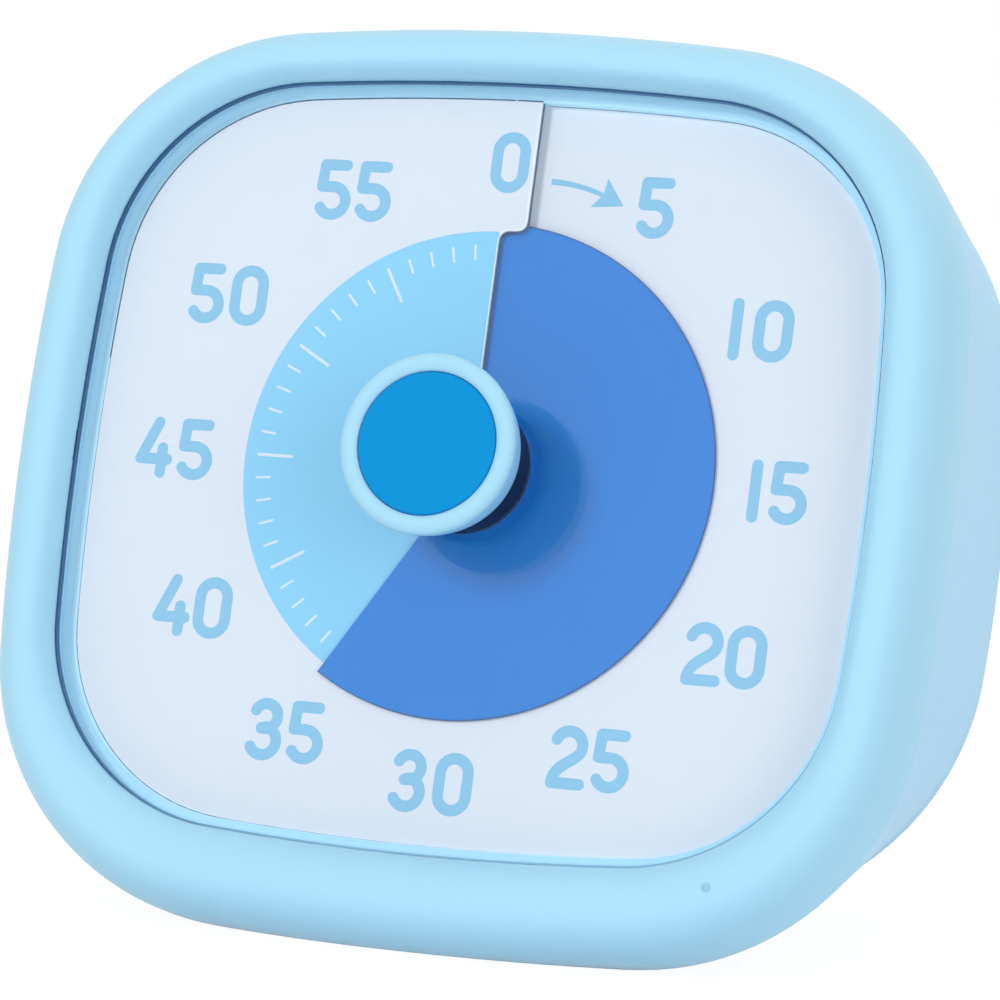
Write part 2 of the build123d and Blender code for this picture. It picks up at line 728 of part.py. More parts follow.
def knob_cap():
    """Flat coloured inlay in the front of the knob."""
    cap = tube(CAP_RADIUS, 0, CAP_Z - CAP_THICK, CAP_Z)
    return chamfer(cap.edges().group_by(Axis.Z)[-1], 0.12)


def knob_collar():
    """Dark sleeve between ring and disc, with the core that grips the spindle."""
    core_top = CAP_Z - CAP_THICK
    collar = tube(COLLAR_RADIUS, 0, LENS_BACK_Z, KNOB_REAR_Z)
    collar += tube(SPINDLE_RADIUS + 1.2, 0, LENS_BACK_Z, core_top)
    bore = d_shaft(SPINDLE_RADIUS, SPINDLE_FLAT, LENS_BACK_Z - 1, core_top - 0.8)
    return collar - Rot(0, 0, -FILM_SET_ANGLE) * bore


def spindle():
    """Steel D shaft from the knob through the dial into the movement."""
    bar = d_shaft(SPINDLE_RADIUS, SPINDLE_FLAT, FRAME_BACK_Z, CAP_Z - CAP_THICK - 0.8)
    bar += tube(SPINDLE_RADIUS, 0, SPINDLE_END_Z, FRAME_FLOOR_Z)
    return Rot(0, 0, -FILM_SET_ANGLE) * bar


# ---- inner frame ------------------------------------------------------------------------
def inner_frame():
    """Tray behind the dial: wall round the dial, dial posts, spindle bearing, bosses."""
    inset = WALL + JOINT_GAP + 0.1
    tray = Pos(0, 0, FRAME_BACK_Z) * extrude(body_face(inset), FRAME_THICK)
    tray = above_base(tray, inset)
    top = LENS_FLANGE_Z
    rise = top - FRAME_FLOOR_Z
    wall = window(0.8 - FRAME_WALL, FRAME_FLOOR_Z, rise)
    wall -= window(0.8, FRAME_FLOOR_Z - 1, rise + 2)
    tray += wall
    for step in range(POST_COUNT):
        angle = 360 * (step + 0.5) / POST_COUNT
        reach = (FILM_RADIUS + LENS_HALF_HEIGHT) / 2
        z_top = dial_height(angle) - DIAL_THICK / 2 - 0.02
        place = Pos(reach * sin(radians(angle)), reach * cos(radians(angle)), 0)
        tray += place * tube(POST_RADIUS, 0, FRAME_FLOOR_Z, z_top)
    tray += tube(BOSS_RADIUS + 1, 0, FRAME_BACK_Z - 1.5, FRAME_FLOOR_Z)
    tray -= tube(SPINDLE_RADIUS + RUNNING_FIT, 0, FRAME_BACK_Z - 3, FRAME_FLOOR_Z + 1)
    for x, y in housing_screw_places():
        low = SCREW_SEAT_Z + SCREW_TUBE_WALL
        boss = Pos(x, y, 0) * tube(BOSS_RADIUS, 0, low, FRAME_BACK_Z)
        tray = tray + boss - Pos(x, y, 0) * tube(SCREW_RADIUS, 0, low - 1, FRAME_BACK_Z - 2)
    for x, y in bezel_boss_places():
        tray -= Pos(x, y, 0) * tube(SMALL_SCREW_RADIUS + 0.1, 0, FRAME_BACK_Z - 1, 0)
    for x, y in movement_screw_places():
        tray -= Pos(x, y, 0) * tube(SMALL_SCREW_RADIUS, 0, FRAME_BACK_Z - 1, FRAME_FLOOR_Z - 0.4)
    return tray


# ---- movement ---------------------------------------------------------------------------
def movement_screw_places():
    """Ears of the movement, left and right."""
    reach = MOVEMENT_WIDTH / 2 + SMALL_HEAD_RADIUS + 0.2
    return [(-reach, EAR_SHIFT), (reach, -EAR_SHIFT)]


def movement_front():
    """Front half of the movement case, with two ears and the spindle hole."""
    back = FRAME_BACK_Z - MOVEMENT_DEPTH / 2
    case = block(MOVEMENT_WIDTH, MOVEMENT_HEIGHT, MOVEMENT_CORNER, back, FRAME_BACK_Z)
    inner = MOVEMENT_WIDTH - 2 * MOVEMENT_WALL
    upright = MOVEMENT_HEIGHT - 2 * MOVEMENT_WALL
    corner = MOVEMENT_CORNER - MOVEMENT_WALL
    case -= block(inner, upright, corner, back - 1, FRAME_BACK_Z - MOVEMENT_WALL)
    for x, y in movement_screw_places():
        ear = block(EAR_WIDTH, EAR_HEIGHT, EAR_CORNER, FRAME_BACK_Z - EAR_THICK, FRAME_BACK_Z)
        ear = Pos(x * 0.97, y, 0) * ear
        case += ear - block(inner, upright, corner, back - 1, FRAME_BACK_Z)
        case -= Pos(x, y, 0) * tube(SMALL_SCREW_RADIUS + 0.1, 0, back, FRAME_BACK_Z + 1)
    return case - tube(BOSS_RADIUS + 1.1, 0, back, FRAME_BACK_Z + 1)


def movement_back():
    """Back half of the movement case, with the rear bearing of the spindle."""
    front = FRAME_BACK_Z - MOVEMENT_DEPTH / 2
    back = FRAME_BACK_Z - MOVEMENT_DEPTH
    case = block(MOVEMENT_WIDTH, MOVEMENT_HEIGHT, MOVEMENT_CORNER, back, front)
    inner = MOVEMENT_WIDTH - 2 * MOVEMENT_WALL
    upright = MOVEMENT_HEIGHT - 2 * MOVEMENT_WALL
    corner = MOVEMENT_CORNER - MOVEMENT_WALL
    case -= block(inner, upright, corner, back + MOVEMENT_WALL, front + 1)
    socket = tube(SPINDLE_RADIUS + 1, SPINDLE_RADIUS + RUNNING_FIT, back + 1, back + 3.5)
    return case + socket


def centre_wheel():
    """Toothed wheel on the spindle, driven by the movement through a friction clutch."""
    pitch = WHEEL_TEETH * WHEEL_MODULE / 2
    tip = pitch + WHEEL_MODULE
    root = pitch - 1.25 * WHEEL_MODULE
    half_pitch = degrees(WHEEL_MODULE * pi / 2 / pitch) / 2
    points = []
    for step in range(WHEEL_TEETH):
        middle = 360 * step / WHEEL_TEETH
        for reach, side in ((root, -1.5), (tip, -0.5), (tip, 0.5), (root, 1.5)):
            turn = radians(middle + side * half_pitch)
            points.append((reach * cos(turn), reach * sin(turn)))
    outline = make_face(Polyline(*points, close=True))
    wheel = Pos(0, 0, WHEEL_Z) * extrude(outline, WHEEL_THICK)
    wheel += tube(SPINDLE_RADIUS + 1.5, 0, WHEEL_Z - 1.2, WHEEL_Z + WHEEL_THICK + 0.8)
    return wheel - tube(SPINDLE_RADIUS, 0, WHEEL_Z - 3, WHEEL_Z + 5)


# ---- control board ----------------------------------------------------------------------
def board_screw_places():
    """Both ends of the control board."""
    reach = BOARD_WIDTH / 2 - SMALL_BOSS - 0.6
    return [(-reach, BOARD_Y), (reach, BOARD_Y)]


def circuit_board():
    """Control board on two posts behind the movement."""
    board = block(BOARD_WIDTH, BOARD_HEIGHT, BOARD_CORNER, BOARD_BACK_Z, BOARD_FRONT_Z)
    board = Pos(0, BOARD_Y, 0) * board
    for x, y in board_screw_places():
        hole = tube(SMALL_SCREW_RADIUS + 0.1, 0, BOARD_BACK_Z - 1, BOARD_FRONT_Z + 1)
        board -= Pos(x, y, 0) * hole
    # corners kept clear of the housing screw tubes
    for x, y in housing_screw_places():
        room = SCREW_TUBE_RADIUS + FREE_GAP
        board -= Pos(x, y, 0) * tube(room, 0, BOARD_BACK_Z - 1, BOARD_FRONT_Z + 1)
    return board


def buzzer():
    """Piezo sounder on the rear face of the board, over the sound holes."""
    low = BACK_INNER_Z + 0.5
    body = tube(BUZZER_RADIUS, 0, low, BOARD_BACK_Z)
    body -= tube(1.0, 0, low - 1, low + 1)
    return Pos(BUZZER_X, BOARD_Y, 0) * body


def chip_cover():
    """Resin dome over the chip, on the front face of the board."""
    dome = tube(CHIP_RADIUS, 0, BOARD_FRONT_Z, BOARD_FRONT_Z + CHIP_HEIGHT)
    dome = chamfer(dome.edges().group_by(Axis.Z)[-1], 0.75 * CHIP_HEIGHT)
    return Pos(CHIP_X, BOARD_Y + BOARD_HEIGHT / 8, 0) * dome


def crystal():
    """Quartz crystal can lying on the front face of the board."""
    place = Pos(SWITCH_X, BOARD_Y - BOARD_HEIGHT / 4, BOARD_FRONT_Z + CRYSTAL_RADIUS)
    return place * Rot(0, 90, 0) * Cylinder(CRYSTAL_RADIUS, CRYSTAL_LENGTH)


def switch_body():
    """Metal can of the volume switch, open towards the back wall."""
    low = BACK_INNER_Z + 0.4
    high = BOARD_BACK_Z
    can = block(SWITCH_LENGTH, SWITCH_HEIGHT, 0.5, low, high)
    can -= block(SWITCH_LENGTH - 1.2, SWITCH_HEIGHT - 1.2, 0.3, low - 1, high - 0.5)
    return Pos(SWITCH_X, BOARD_Y, 0) * can


def switch_slider():
    """Slider of the volume switch, standing a little proud of the back."""
    low = BODY_BACK_Z - SLIDER_PROUD
    high = BOARD_BACK_Z - 0.8
    slider = block(SLIDER_LENGTH, SLIDER_HEIGHT, 0.4, low, high)
    for step in (-1, 0, 1):
        groove = Pos(step * 0.9, 0, low) * Box(0.35, SLIDER_HEIGHT + 1, 0.5)
        slider -= groove
    return Pos(SWITCH_X, BOARD_Y, 0) * slider


# ---- battery ----------------------------------------------------------------------------
def battery_cell():
    """AA cell lying across the bay, its positive nub to the right."""
    cell = Cylinder(CELL_RADIUS, CELL_LENGTH - CELL_NUB)
    cell = chamfer(cell.edges(), 0.4)
    cell = Pos(0, 0, -CELL_NUB / 2) * cell
    cell += Pos(0, 0, CELL_LENGTH / 2 - CELL_NUB) * tube(CELL_NUB_RADIUS, 0, -0.2, CELL_NUB)
    return Pos(0, CELL_Y, CELL_Z) * Rot(0, 90, 0) * cell


def contact_strip():
    """Bent contact strip: a flat leg on the bay wall and a bow that touches the cell."""
    inner = CONTACT_ROOM - 0.05
    strip = make_face(
        Polyline(
            (0, -CONTACT_HALF_HEIGHT),
            (0, CONTACT_HALF_HEIGHT),
            (CONTACT_THICK, CONTACT_HALF_HEIGHT),
            (CONTACT_THICK, CONTACT_FOOT),
            (inner, CONTACT_TIP),
            (inner, -CONTACT_TIP),
            (inner - CONTACT_THICK, -CONTACT_TIP),
            (inner - CONTACT_THICK, CONTACT_TIP - CONTACT_THICK / 4),
            (CONTACT_THICK, CONTACT_FOOT - 2 * CONTACT_THICK),
            (CONTACT_THICK, -CONTACT_HALF_HEIGHT),
            close=True,
        )
    )
    return Pos(0, 0, -CONTACT_WIDTH / 2) * extrude(strip, CONTACT_WIDTH)


def contact(side):
    """Contact at one end of the bay; side is +1 on the right and -1 on the left."""
    turned = Rot(0, 0, 180) * contact_strip() if side > 0 else contact_strip()
    return Pos(side * BAY_LENGTH / 2, CELL_Y, CELL_Z) * turned


# ---- screws and indicator ---------------------------------------------------------------
def placed_screws(places, z, radius, head_radius, head, length):
    """Identical screws, driven from the back, as one compound."""
    one = screw(radius, head_radius, head, length)
    return Compound(children=[Pos(x, y, z) * one for x, y in places])


def indicator_led():
    """Small lamp behind the pinhole in the rim."""
    x, y = led_place()
    lamp = tube(LED_RADIUS, 0, LED_TOP_Z - LED_LENGTH, LED_TOP_Z)
    return Pos(x, y, 0) * lamp


def light_pipe():
    """Clear pin that brings the lamp's light to the surface of the rim."""
    x, y = led_place()
    return Pos(x, y, 0) * tube(PIPE_RADIUS, 0, LED_TOP_Z, CREST_Z - 0.1)


# ---- stand up and write -----------------------------------------------------------------
def stand():
    """Place of the dial frame once the timer stands on its base."""
    mid_depth = (SEAM_Z + BODY_BACK_Z + REAR_ROUND / 2) / 2
    foot_y = -BODY_BOTTOM + BASE_CUT + (SEAM_Z - mid_depth) * tan(radians(LEAN))
    up = Vector(0, sin(radians(LEAN)), cos(radians(LEAN)))
    out = Vector(0, -cos(radians(LEAN)), sin(radians(LEAN)))
    origin = up * -foot_y + out * -mid_depth
    return Plane(origin=origin, x_dir=(1, 0, 0), z_dir=out).location


PIECES = {
    "front_bezel": front_bezel,
    "rear_shell": rear_shell,
    "battery_door": battery_door,
    "window_lens": window_lens,
    "dial_plate": dial_plate,
    "time_disc": time_disc,
    "disc_hub": disc_hub,
    "knob_ring": knob_ring,
    "knob_cap": knob_cap,
    "knob_collar": knob_collar,
    "spindle": spindle,
    "inner_frame": inner_frame,
    "movement_front": movement_front,
    "movement_back": movement_back,
    "centre_wheel": centre_wheel,
    "circuit_board": circuit_board,
    "buzzer": buzzer,
    "chip_cover": chip_cover,
    "crystal": crystal,
    "switch_body": switch_body,
    "switch_slider": switch_slider,
    "battery_cell": battery_cell,
    "contact_positive": lambda: contact(1),
    "contact_negative": lambda: contact(-1),
    "indicator_led": indicator_led,
    "light_pipe": light_pipe,
    "housing_screws": lambda: placed_screws(
        housing_screw_places(),
        SCREW_SEAT_Z,
        SCREW_RADIUS,
        SCREW_HEAD_RADIUS,
        SCREW_HEAD,
        HOUSING_SCREW_LENGTH,
    ),
    "frame_screws": lambda: placed_screws(
        bezel_boss_places(),
        FRAME_BACK_Z,
        SMALL_SCREW_RADIUS,
        SMALL_HEAD_RADIUS,
        SMALL_HEAD,
        FRAME_SCREW_LENGTH,
    ),
    "movement_screws": lambda: placed_screws(
        movement_screw_places(),
        FRAME_BACK_Z - EAR_THICK,
        SMALL_SCREW_RADIUS,
        SMALL_HEAD_RADIUS,
        SMALL_HEAD,
        MOVEMENT_SCREW_LENGTH,
    ),
    "board_screws": lambda: Compound(
        children=[
            Pos(x, y, BOARD_FRONT_Z)
            * Rot(180, 0, 0)
            * screw(SMALL_SCREW_RADIUS, SMALL_HEAD_RADIUS, SMALL_HEAD, BOARD_SCREW_LENGTH)
            for x, y in board_screw_places()
        ]
    ),
}


def main():
    """Build each piece, stand it up and write it to its own file."""
    os.makedirs("parts", exist_ok=True)
    place = stand()
    for name, make in PIECES.items():
        export_step(place * make(), f"parts/{name}.step")


if __name__ == "__main__":
    main()
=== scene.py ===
"""Sixty-minute visual countdown timer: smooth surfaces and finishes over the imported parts.

Shapes are worked out in the dial frame, in millimetres: x to the right, y up along the
dial, z out of the dial, with z = 0 on the lowest point of the helical dial. stand() turns
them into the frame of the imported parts, in metres.
"""
import json
from math import atan2, degrees, pi, radians

import bpy
import numpy as np
from mathutils import Matrix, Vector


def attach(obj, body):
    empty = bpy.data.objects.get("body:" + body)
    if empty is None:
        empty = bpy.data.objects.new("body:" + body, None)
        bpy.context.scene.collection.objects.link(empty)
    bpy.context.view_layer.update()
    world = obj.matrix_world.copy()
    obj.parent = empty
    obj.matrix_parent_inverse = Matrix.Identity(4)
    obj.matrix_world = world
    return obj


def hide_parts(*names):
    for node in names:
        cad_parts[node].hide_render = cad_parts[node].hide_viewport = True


bl_info = {
    "name": "Visual Countdown Timer",
    "version": (1, 0, 0),
    "blender": (4, 5, 0),
    "location": "View3D > Sidebar > Timer",
    "description": "Builds a sixty-minute visual countdown timer with a turning time disc",
    "category": "Add Mesh",
}

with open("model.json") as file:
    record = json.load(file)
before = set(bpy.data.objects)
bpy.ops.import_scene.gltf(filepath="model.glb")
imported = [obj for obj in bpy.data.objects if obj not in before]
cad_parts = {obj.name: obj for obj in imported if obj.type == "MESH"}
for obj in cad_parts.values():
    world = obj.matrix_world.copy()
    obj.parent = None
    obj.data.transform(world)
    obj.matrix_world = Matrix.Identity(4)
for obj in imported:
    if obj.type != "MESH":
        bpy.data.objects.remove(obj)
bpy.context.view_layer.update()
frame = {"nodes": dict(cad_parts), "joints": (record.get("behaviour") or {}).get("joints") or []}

# ---- the dial frame, from the knob's joint ---------------------------------------------
TURN = next(joint for joint in frame["joints"] if joint["name"] == "knob_turn")
CENTRE = np.array(TURN["pos_m"])
OUT = -np.array(TURN["axis"])
RIGHT = np.array([1.0, 0.0, 0.0])
UP = np.cross(OUT, RIGHT)
LEAN = atan2(OUT[2], -OUT[1])

# ---- sizes in the dial frame, in millimetres -------------------------------------------
# a millimetre, in metres
MM = 0.001
# outline of the window: half width, top, bottom, corner radius, side radius
WINDOW = np.array([34.4, 32.0, 32.0, 17.2, 240.0])
# points along each corner arc and along each half side
CORNER_STEPS = 30
SIDE_STEPS = 10
# window: bevelled front, flange behind it and hole for the knob
LENS_TOP_Z = 2.9
LENS_BACK_Z = 1.9
LENS_BEVEL = 0.1
FLANGE_BACK_Z = 1.0
FLANGE_REACH = 0.9
FLANGE_INNER = 0.6
HOLE_RADIUS = 5.68
HOLE_BEVEL = 0.06
# painted shadow in the gap round the window, its sides counted outwards from the window's outline
GAP_SHADOW_INNER = 0.04
GAP_SHADOW_OUTER = 0.19
GAP_SHADOW_LOW_Z = 2.5
GAP_SHADOW_TOP_Z = 3.12
# painted shade: a dark bar in the slot beside the window, for the dark hollow behind it
SLOT_SHADOW_PLACE = (-34.72, -0.32)
SLOT_SHADOW_REACH = 1.55
SLOT_SHADOW_RADIUS = 0.15
SLOT_SHADOW_LOW_Z = 2.75
SLOT_SHADOW_TOP_Z = 3.14
# dial: one turn of a helix with a raised step at the zero
DIAL_INSET = 0.86
DIAL_RISE = 1.3
DIAL_THICK = 0.4
DIAL_BORE = 6.6
STEP_X = 2.3
STEP_Y = 20.1
STEP_ROUND = 0.8
STEP_END_Y = 31.09
# a point this near to the tab counts as on it
TAB_SLACK = 0.05
# painted highlight along the step's edge: points on the step, where the highlight widens, and
# (distance from the edge, width, lift)
STEP_PATH_POINTS = 90
HIGHLIGHT_CHANGE_Y = STEP_Y - 0.5
WIDE_HIGHLIGHT = (0.12, 0.2, 0.015)
FINE_HIGHLIGHT = (0.07, 0.09, 0.014)
# painted shadow: a dark line round the rim, and a narrow dark wall under the step, where the gaps
# at the dial's edges are in shade
EDGE_SHADOW_INSET = 0.80
EDGE_SHADOW_WIDTH = 0.16
EDGE_SHADOW_LIFT = -0.02
SHADOW_WALL_INSET = 0.05
SHADOW_WALL_LIFT = -0.12
SHADOW_WALL_HEIGHT = 0.27
SHADOW_WALL_THICK = 0.04
# printed circle, ticks as (length, width), and how high and how deep the print lies
CIRCLE_RADIUS = 20.0
LONG_TICK = (3.0, 0.26)
SHORT_TICK = (1.15, 0.2)
CIRCLE_LIFT = 0.012
CIRCLE_DEPTH = 0.02
TICK_LIFT = 0.03
NUMERAL_LIFT = 0.02
NUMERAL_STEP = 0.003
INK_DEPTH = 0.03
# numerals: pitch of two figures, moves to the right of a 1 and of the 0, and how much nearer
# to the axis 0 and 30 stand
FIGURE_PITCH = 3.62
ONE_SHIFT = 0.45
ZERO_SHIFT = 0.15
AXIS_INSET = 0.5
# time disc: the angle of its ramps, the set angle and half its cut are in degrees
FILM_RADIUS = 20.85
FILM_THICK = 0.15
FILM_OFFSET = 0.425
FILM_RAMP = 360 * FILM_OFFSET / DIAL_RISE
FILM_SET = 6 * 35.3
FILM_CUT = 0.15
EDGE_WIDTH = 0.15
HUB_RADIUS = 5.4
# knob; the waist and the crest are (radius, z)
KNOB_RADIUS = 7.4
KNOB_REAR_RADIUS = 5.9
KNOB_REAR_Z = 6.0
KNOB_SEAM_Z = 11.0
KNOB_WAIST = (6.87, 8.5)
KNOB_CREST = (6.73, 12.1)
SEAT_RADIUS = 5.91
SEAT_TOP_Z = 11.7
CAP_RADIUS = 5.86
CAP_ROUND = 0.18
CAP_Z = 11.8
CAP_BACK_Z = 10.62
COLLAR_RADIUS = 5.6
COLLAR_LOW_BEVEL = 0.15
COLLAR_TOP_BEVEL = 0.3
CORE_RADIUS = 3.2
CORE_TOP_Z = 10.6
SPINDLE_RADIUS = 2.0
# battery cell: where the coloured band and the bare pole begin, along x
BAND_X = 10.0
NUB_X = 23.4
# clear acrylic: the share of light that it mirrors face on
FACE_ON = 0.039

# ---- floor, light and camera -----------------------------------------------------------
# in metres; the floor lies just under the timer's base
FLOOR_SIDE = 3.0
FLOOR_Z = -0.00005
WORLD_LEVEL = 0.445
# name, place and side in metres, watts
LAMPS = (
    ("key lamp", (-0.35, -1.05, 0.6), 0.26, 5.0),
    ("fill lamp", (0.80, -0.70, 0.3), 0.7, 2.9),
    ("top lamp", (0.1, 0.2, 1.0), 0.8, 2.0),
    ("rear lamp", (0.5, 1.1, 0.5), 0.8, 2.4),
)
# lens in millimetres; azimuth, elevation and roll in degrees; place in the dial frame
CAMERA_LENS = 172.54
CAMERA_TURN = (19.820, 6.094, 2.013)
CAMERA_PLACE = (135.046, -63.412, 364.783)


# ---- surfaces --------------------------------------------------------------------------
def stand(points):
    """Dial frame in mm to the frame of the parts in m: centre + x right + y up + z out."""
    x, y, z = points[..., 0:1], points[..., 1:2], points[..., 2:3]
    return CENTRE + (x * RIGHT + y * UP + z * OUT) * MM


def quadrant(half_width, height, corner, side):
    """A quarter of a rounded square for each row of sizes.

    Half of the bowed side, the corner arc and half of the bowed top. The corner's centre is
    where two circles of radius side - corner about the centres of both sides cross, so
    every arc runs on in the direction of the last.
    """
    flank = np.stack([half_width - side, 0 * side], -1)
    level = np.stack([0 * side, height - side], -1)
    middle = (flank + level) / 2
    gap = np.linalg.norm(level - flank, axis=-1)
    rise = np.sqrt((side - corner) ** 2 - (gap / 2) ** 2)
    along = (level - flank) / gap[:, None]
    centre = middle + np.stack([-along[:, 1], along[:, 0]], -1) * rise[:, None]
    first = np.arctan2(centre[:, 1], centre[:, 0] - flank[:, 0])
    last = np.arctan2(centre[:, 1] - level[:, 1], centre[:, 0])
    sweep = np.linspace(0, 1, SIDE_STEPS, endpoint=False)
    bend = np.linspace(0, 1, CORNER_STEPS, endpoint=False)
    turns = (
        (flank, side, first[:, None] * sweep),
        (centre, corner, first[:, None] + (last - first)[:, None] * bend),
        (level, side, last[:, None] + (pi / 2 - last)[:, None] * sweep),
    )
    arcs = [
        middle_point[:, None] + radius[:, None, None] * np.stack([np.cos(a), np.sin(a)], -1)
        for middle_point, radius, a in turns
    ]
    end = np.stack([0 * side, height], -1)[:, None]
    return np.concatenate(arcs + [end], 1)


def outline(rows):
    """Closed outlines, anticlockwise from +x: a quarter, mirrored about both axes."""
    rows = np.atleast_2d(rows)
    half_width, top, bottom, corner, side = rows.T
    upper = quadrant(half_width, top, corner, side)
    lower = quadrant(half_width, bottom, corner, side)
    quarters = (
        upper[:, :-1],
        (upper * [-1, 1])[:, :0:-1],
        (lower * [-1, -1])[:, :-1],
        (lower * [1, -1])[:, :0:-1],
    )
    return np.concatenate(quarters, 1)


def raised(flat, z):
    """Points of a plane with a height z: one for all of them, for each row or for each point."""
    z = np.broadcast_to(z, flat.shape[:-1])
    return np.concatenate([flat, z[..., None]], -1)


def window_rows(levels):
    """The window's outline for each (growth, height): a grid of points."""
    growth, heights = np.array(levels).T
    return raised(outline(WINDOW + growth[:, None]), heights[:, None])


def bearings(angles):
    """Unit vectors at angles in degrees, clockwise from the top: (sin a, cos a)."""
    turn = np.radians(angles)
    return np.stack([np.sin(turn), np.cos(turn)], -1)


def bearing_of(points):
    """Angles of points in degrees, from 0 to 360, clockwise from the top."""
    return np.degrees(np.arctan2(points[..., 0], points[..., 1])) % 360


def window_reach(inset, angles):
    """Distance from the dial's axis to the window's outline, less inset, at some angles."""
    rim = outline(WINDOW - inset)[0]
    turn = bearing_of(rim)
    order = np.argsort(turn)
    reach = np.linalg.norm(rim, axis=1)[order]
    return np.interp(angles, turn[order], reach, period=360)


def left_of(run):
    """Unit vectors to the left of the directions in which a path runs: (-y, x) / length."""
    run = run / np.linalg.norm(run, axis=1)[:, None]
    return np.stack([-run[:, 1], run[:, 0]], -1)


def grid(points, joined=False):
    """Quads between neighbouring points, closed around each row.

    The last row is joined to the first when asked, so the surface closes on itself.
    """
    rows, columns = points.shape[:2]
    index = np.arange(rows * columns).reshape(rows, columns)
    index = np.concatenate([index, index[:, :1]], 1)
    if joined:
        index = np.concatenate([index, index[:1]], 0)
    corners = (index[:-1, :-1], index[:-1, 1:], index[1:, 1:], index[1:, :-1])
    return points.reshape(-1, 3), [np.stack(corners, -1).reshape(-1, 4)]


def closed_grid(points):
    """Grid closed around its rows, with both end rows filled by fans about their middles."""
    verts, faces = grid(points)
    rows, columns = points.shape[:2]
    middles = np.stack([points[0].mean(0), points[-1].mean(0)])
    first = np.arange(columns)
    after = np.roll(first, -1)
    start = np.full(columns, rows * columns)
    low = np.stack([after, first, start], -1)
    top = (rows - 1) * columns
    high = np.stack([first + top, after + top, start + 1], -1)
    return np.concatenate([verts, middles]), faces + [low, high]


def sheet(front, back):
    """Thin closed plate between two grids of points of the same shape."""
    loop = np.concatenate([front, back[:, ::-1]], 1)
    verts, faces = grid(loop)
    rows, columns = loop.shape[:2]
    half = columns // 2
    step = np.arange(half - 1)
    ends = []
    for base in (0, (rows - 1) * columns):
        near, far = base + step, base + columns - 1 - step
        quad = np.stack([near, far, far - 1, near + 1], -1)
        ends.append(quad if base == 0 else quad[:, ::-1])
    return verts, faces + ends


def merged(parts):
    """One set of points and faces from several."""
    verts, faces, start = [], [], 0
    for points, groups in parts:
        verts.append(points)
        faces += [group + start for group in groups]
        start += len(points)
    return np.concatenate(verts), faces


def outward(verts, faces):
    """Turns every face round when the volume they enclose comes out negative."""
    volume = 0.0
    for group in faces:
        a = verts[group[:, 0]]
        for second in range(1, group.shape[1] - 1):
            b, c = verts[group[:, second]], verts[group[:, second + 1]]
            volume += np.einsum("ij,ij->", a, np.cross(b, c))
    return faces if volume >= 0 else [group[:, ::-1] for group in faces]


def piece(name, parts, body, material, replaces=(), sharp=35.0, edge=None):
    """Puts closed shells into one mesh object that rides on a body.

    With a second material for the edge, faces that stand across the dial get that one.
    """
    placed = [(stand(points), faces) for points, faces in parts]
    verts, faces = merged([(points, outward(points, faces)) for points, faces in placed])
    loops = np.concatenate([group.ravel() for group in faces])
    totals = np.concatenate([np.full(len(group), group.shape[1]) for group in faces])
    mesh = bpy.data.meshes.new(name)
    mesh.vertices.add(len(verts))
    mesh.vertices.foreach_set("co", verts.ravel().astype(np.float32))
    mesh.loops.add(len(loops))
    mesh.loops.foreach_set("vertex_index", loops.astype(np.int32))
    mesh.polygons.add(len(totals))
    starts = np.concatenate([[0], np.cumsum(totals)[:-1]])
    mesh.polygons.foreach_set("loop_start", starts.astype(np.int32))
    mesh.polygons.foreach_set("use_smooth", np.ones(len(totals), bool))
    mesh.update(calc_edges=True)
    mesh.validate()
    mesh.set_sharp_from_angle(angle=radians(sharp))
    mesh.materials.append(material)
    if edge:
        mesh.materials.append(edge)
        normals = np.empty(len(totals) * 3, np.float32)
        mesh.polygons.foreach_get("normal", normals)
        across = np.abs(normals.reshape(-1, 3) @ OUT) < 0.9
        mesh.polygons.foreach_set("material_index", across.astype(np.int32))
    made = bpy.data.objects.new(name, mesh)
    bpy.context.scene.collection.objects.link(made)
    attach(made, body)
    if replaces:
        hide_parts(*replaces)


def revolve(profile, count=96):
    """A profile of (radius, z) swept about the dial axis: (r cos t, r sin t, z), t even."""
    profile = np.asarray(profile, float)
    turn = np.linspace(0, 2 * pi, count, endpoint=False)
    way = np.stack([np.cos(turn), np.sin(turn)], -1)
    return raised(profile[:, None, :1] * way, profile[:, 1:])


def arc(centre, radius, first, last, steps):
    """Points along a circle: centre + radius (cos a, sin a), at even angles in degrees."""
    turn = np.radians(np.linspace(first, last, steps + 1))
    return np.stack([centre[0] + radius * np.cos(turn), centre[1] + radius * np.sin(turn)], -1)


def through(start, middle, end, steps):
    """Arc through three points, from the circle that is equally far from all of them."""
    a, b, c = (np.array(point, float) for point in (start, middle, end))
    lines = 2 * np.array([b - a, c - a])
    centre = np.linalg.solve(lines, [b @ b - a @ a, c @ c - a @ a])
    radius = np.linalg.norm(a - centre)
    turns = [degrees(atan2(p[1] - centre[1], p[0] - centre[0])) for p in (a, b, c)]
    first = turns[0]
    last = first + (turns[2] - first + 180) % 360 - 180
    return arc(centre, radius, first, last, steps)


def dial_angle(points):
    """Degrees clockwise from the top, from 0 to 360, and past 360 on the tab of the step."""
    x, y = points[..., 0], points[..., 1]
    turn = np.degrees(np.arctan2(x, y))
    tab = (turn >= 0) & (x < STEP_X + TAB_SLACK) & (y > STEP_Y - TAB_SLACK)
    return np.where((turn < 0) | tab, turn + 360, turn)


def dial_top(points, lift):
    """Points on the face of the dial: it climbs evenly with the angle, by DIAL_RISE a turn."""
    return raised(points, DIAL_RISE * dial_angle(points) / 360 + lift)


def tab_top(points, lift):
    """The same height read on the upper side of the step, past a full turn."""
    turn = np.degrees(np.arctan2(points[..., 0], points[..., 1]))
    return raised(points, DIAL_RISE * (1 + turn / 360) + lift)


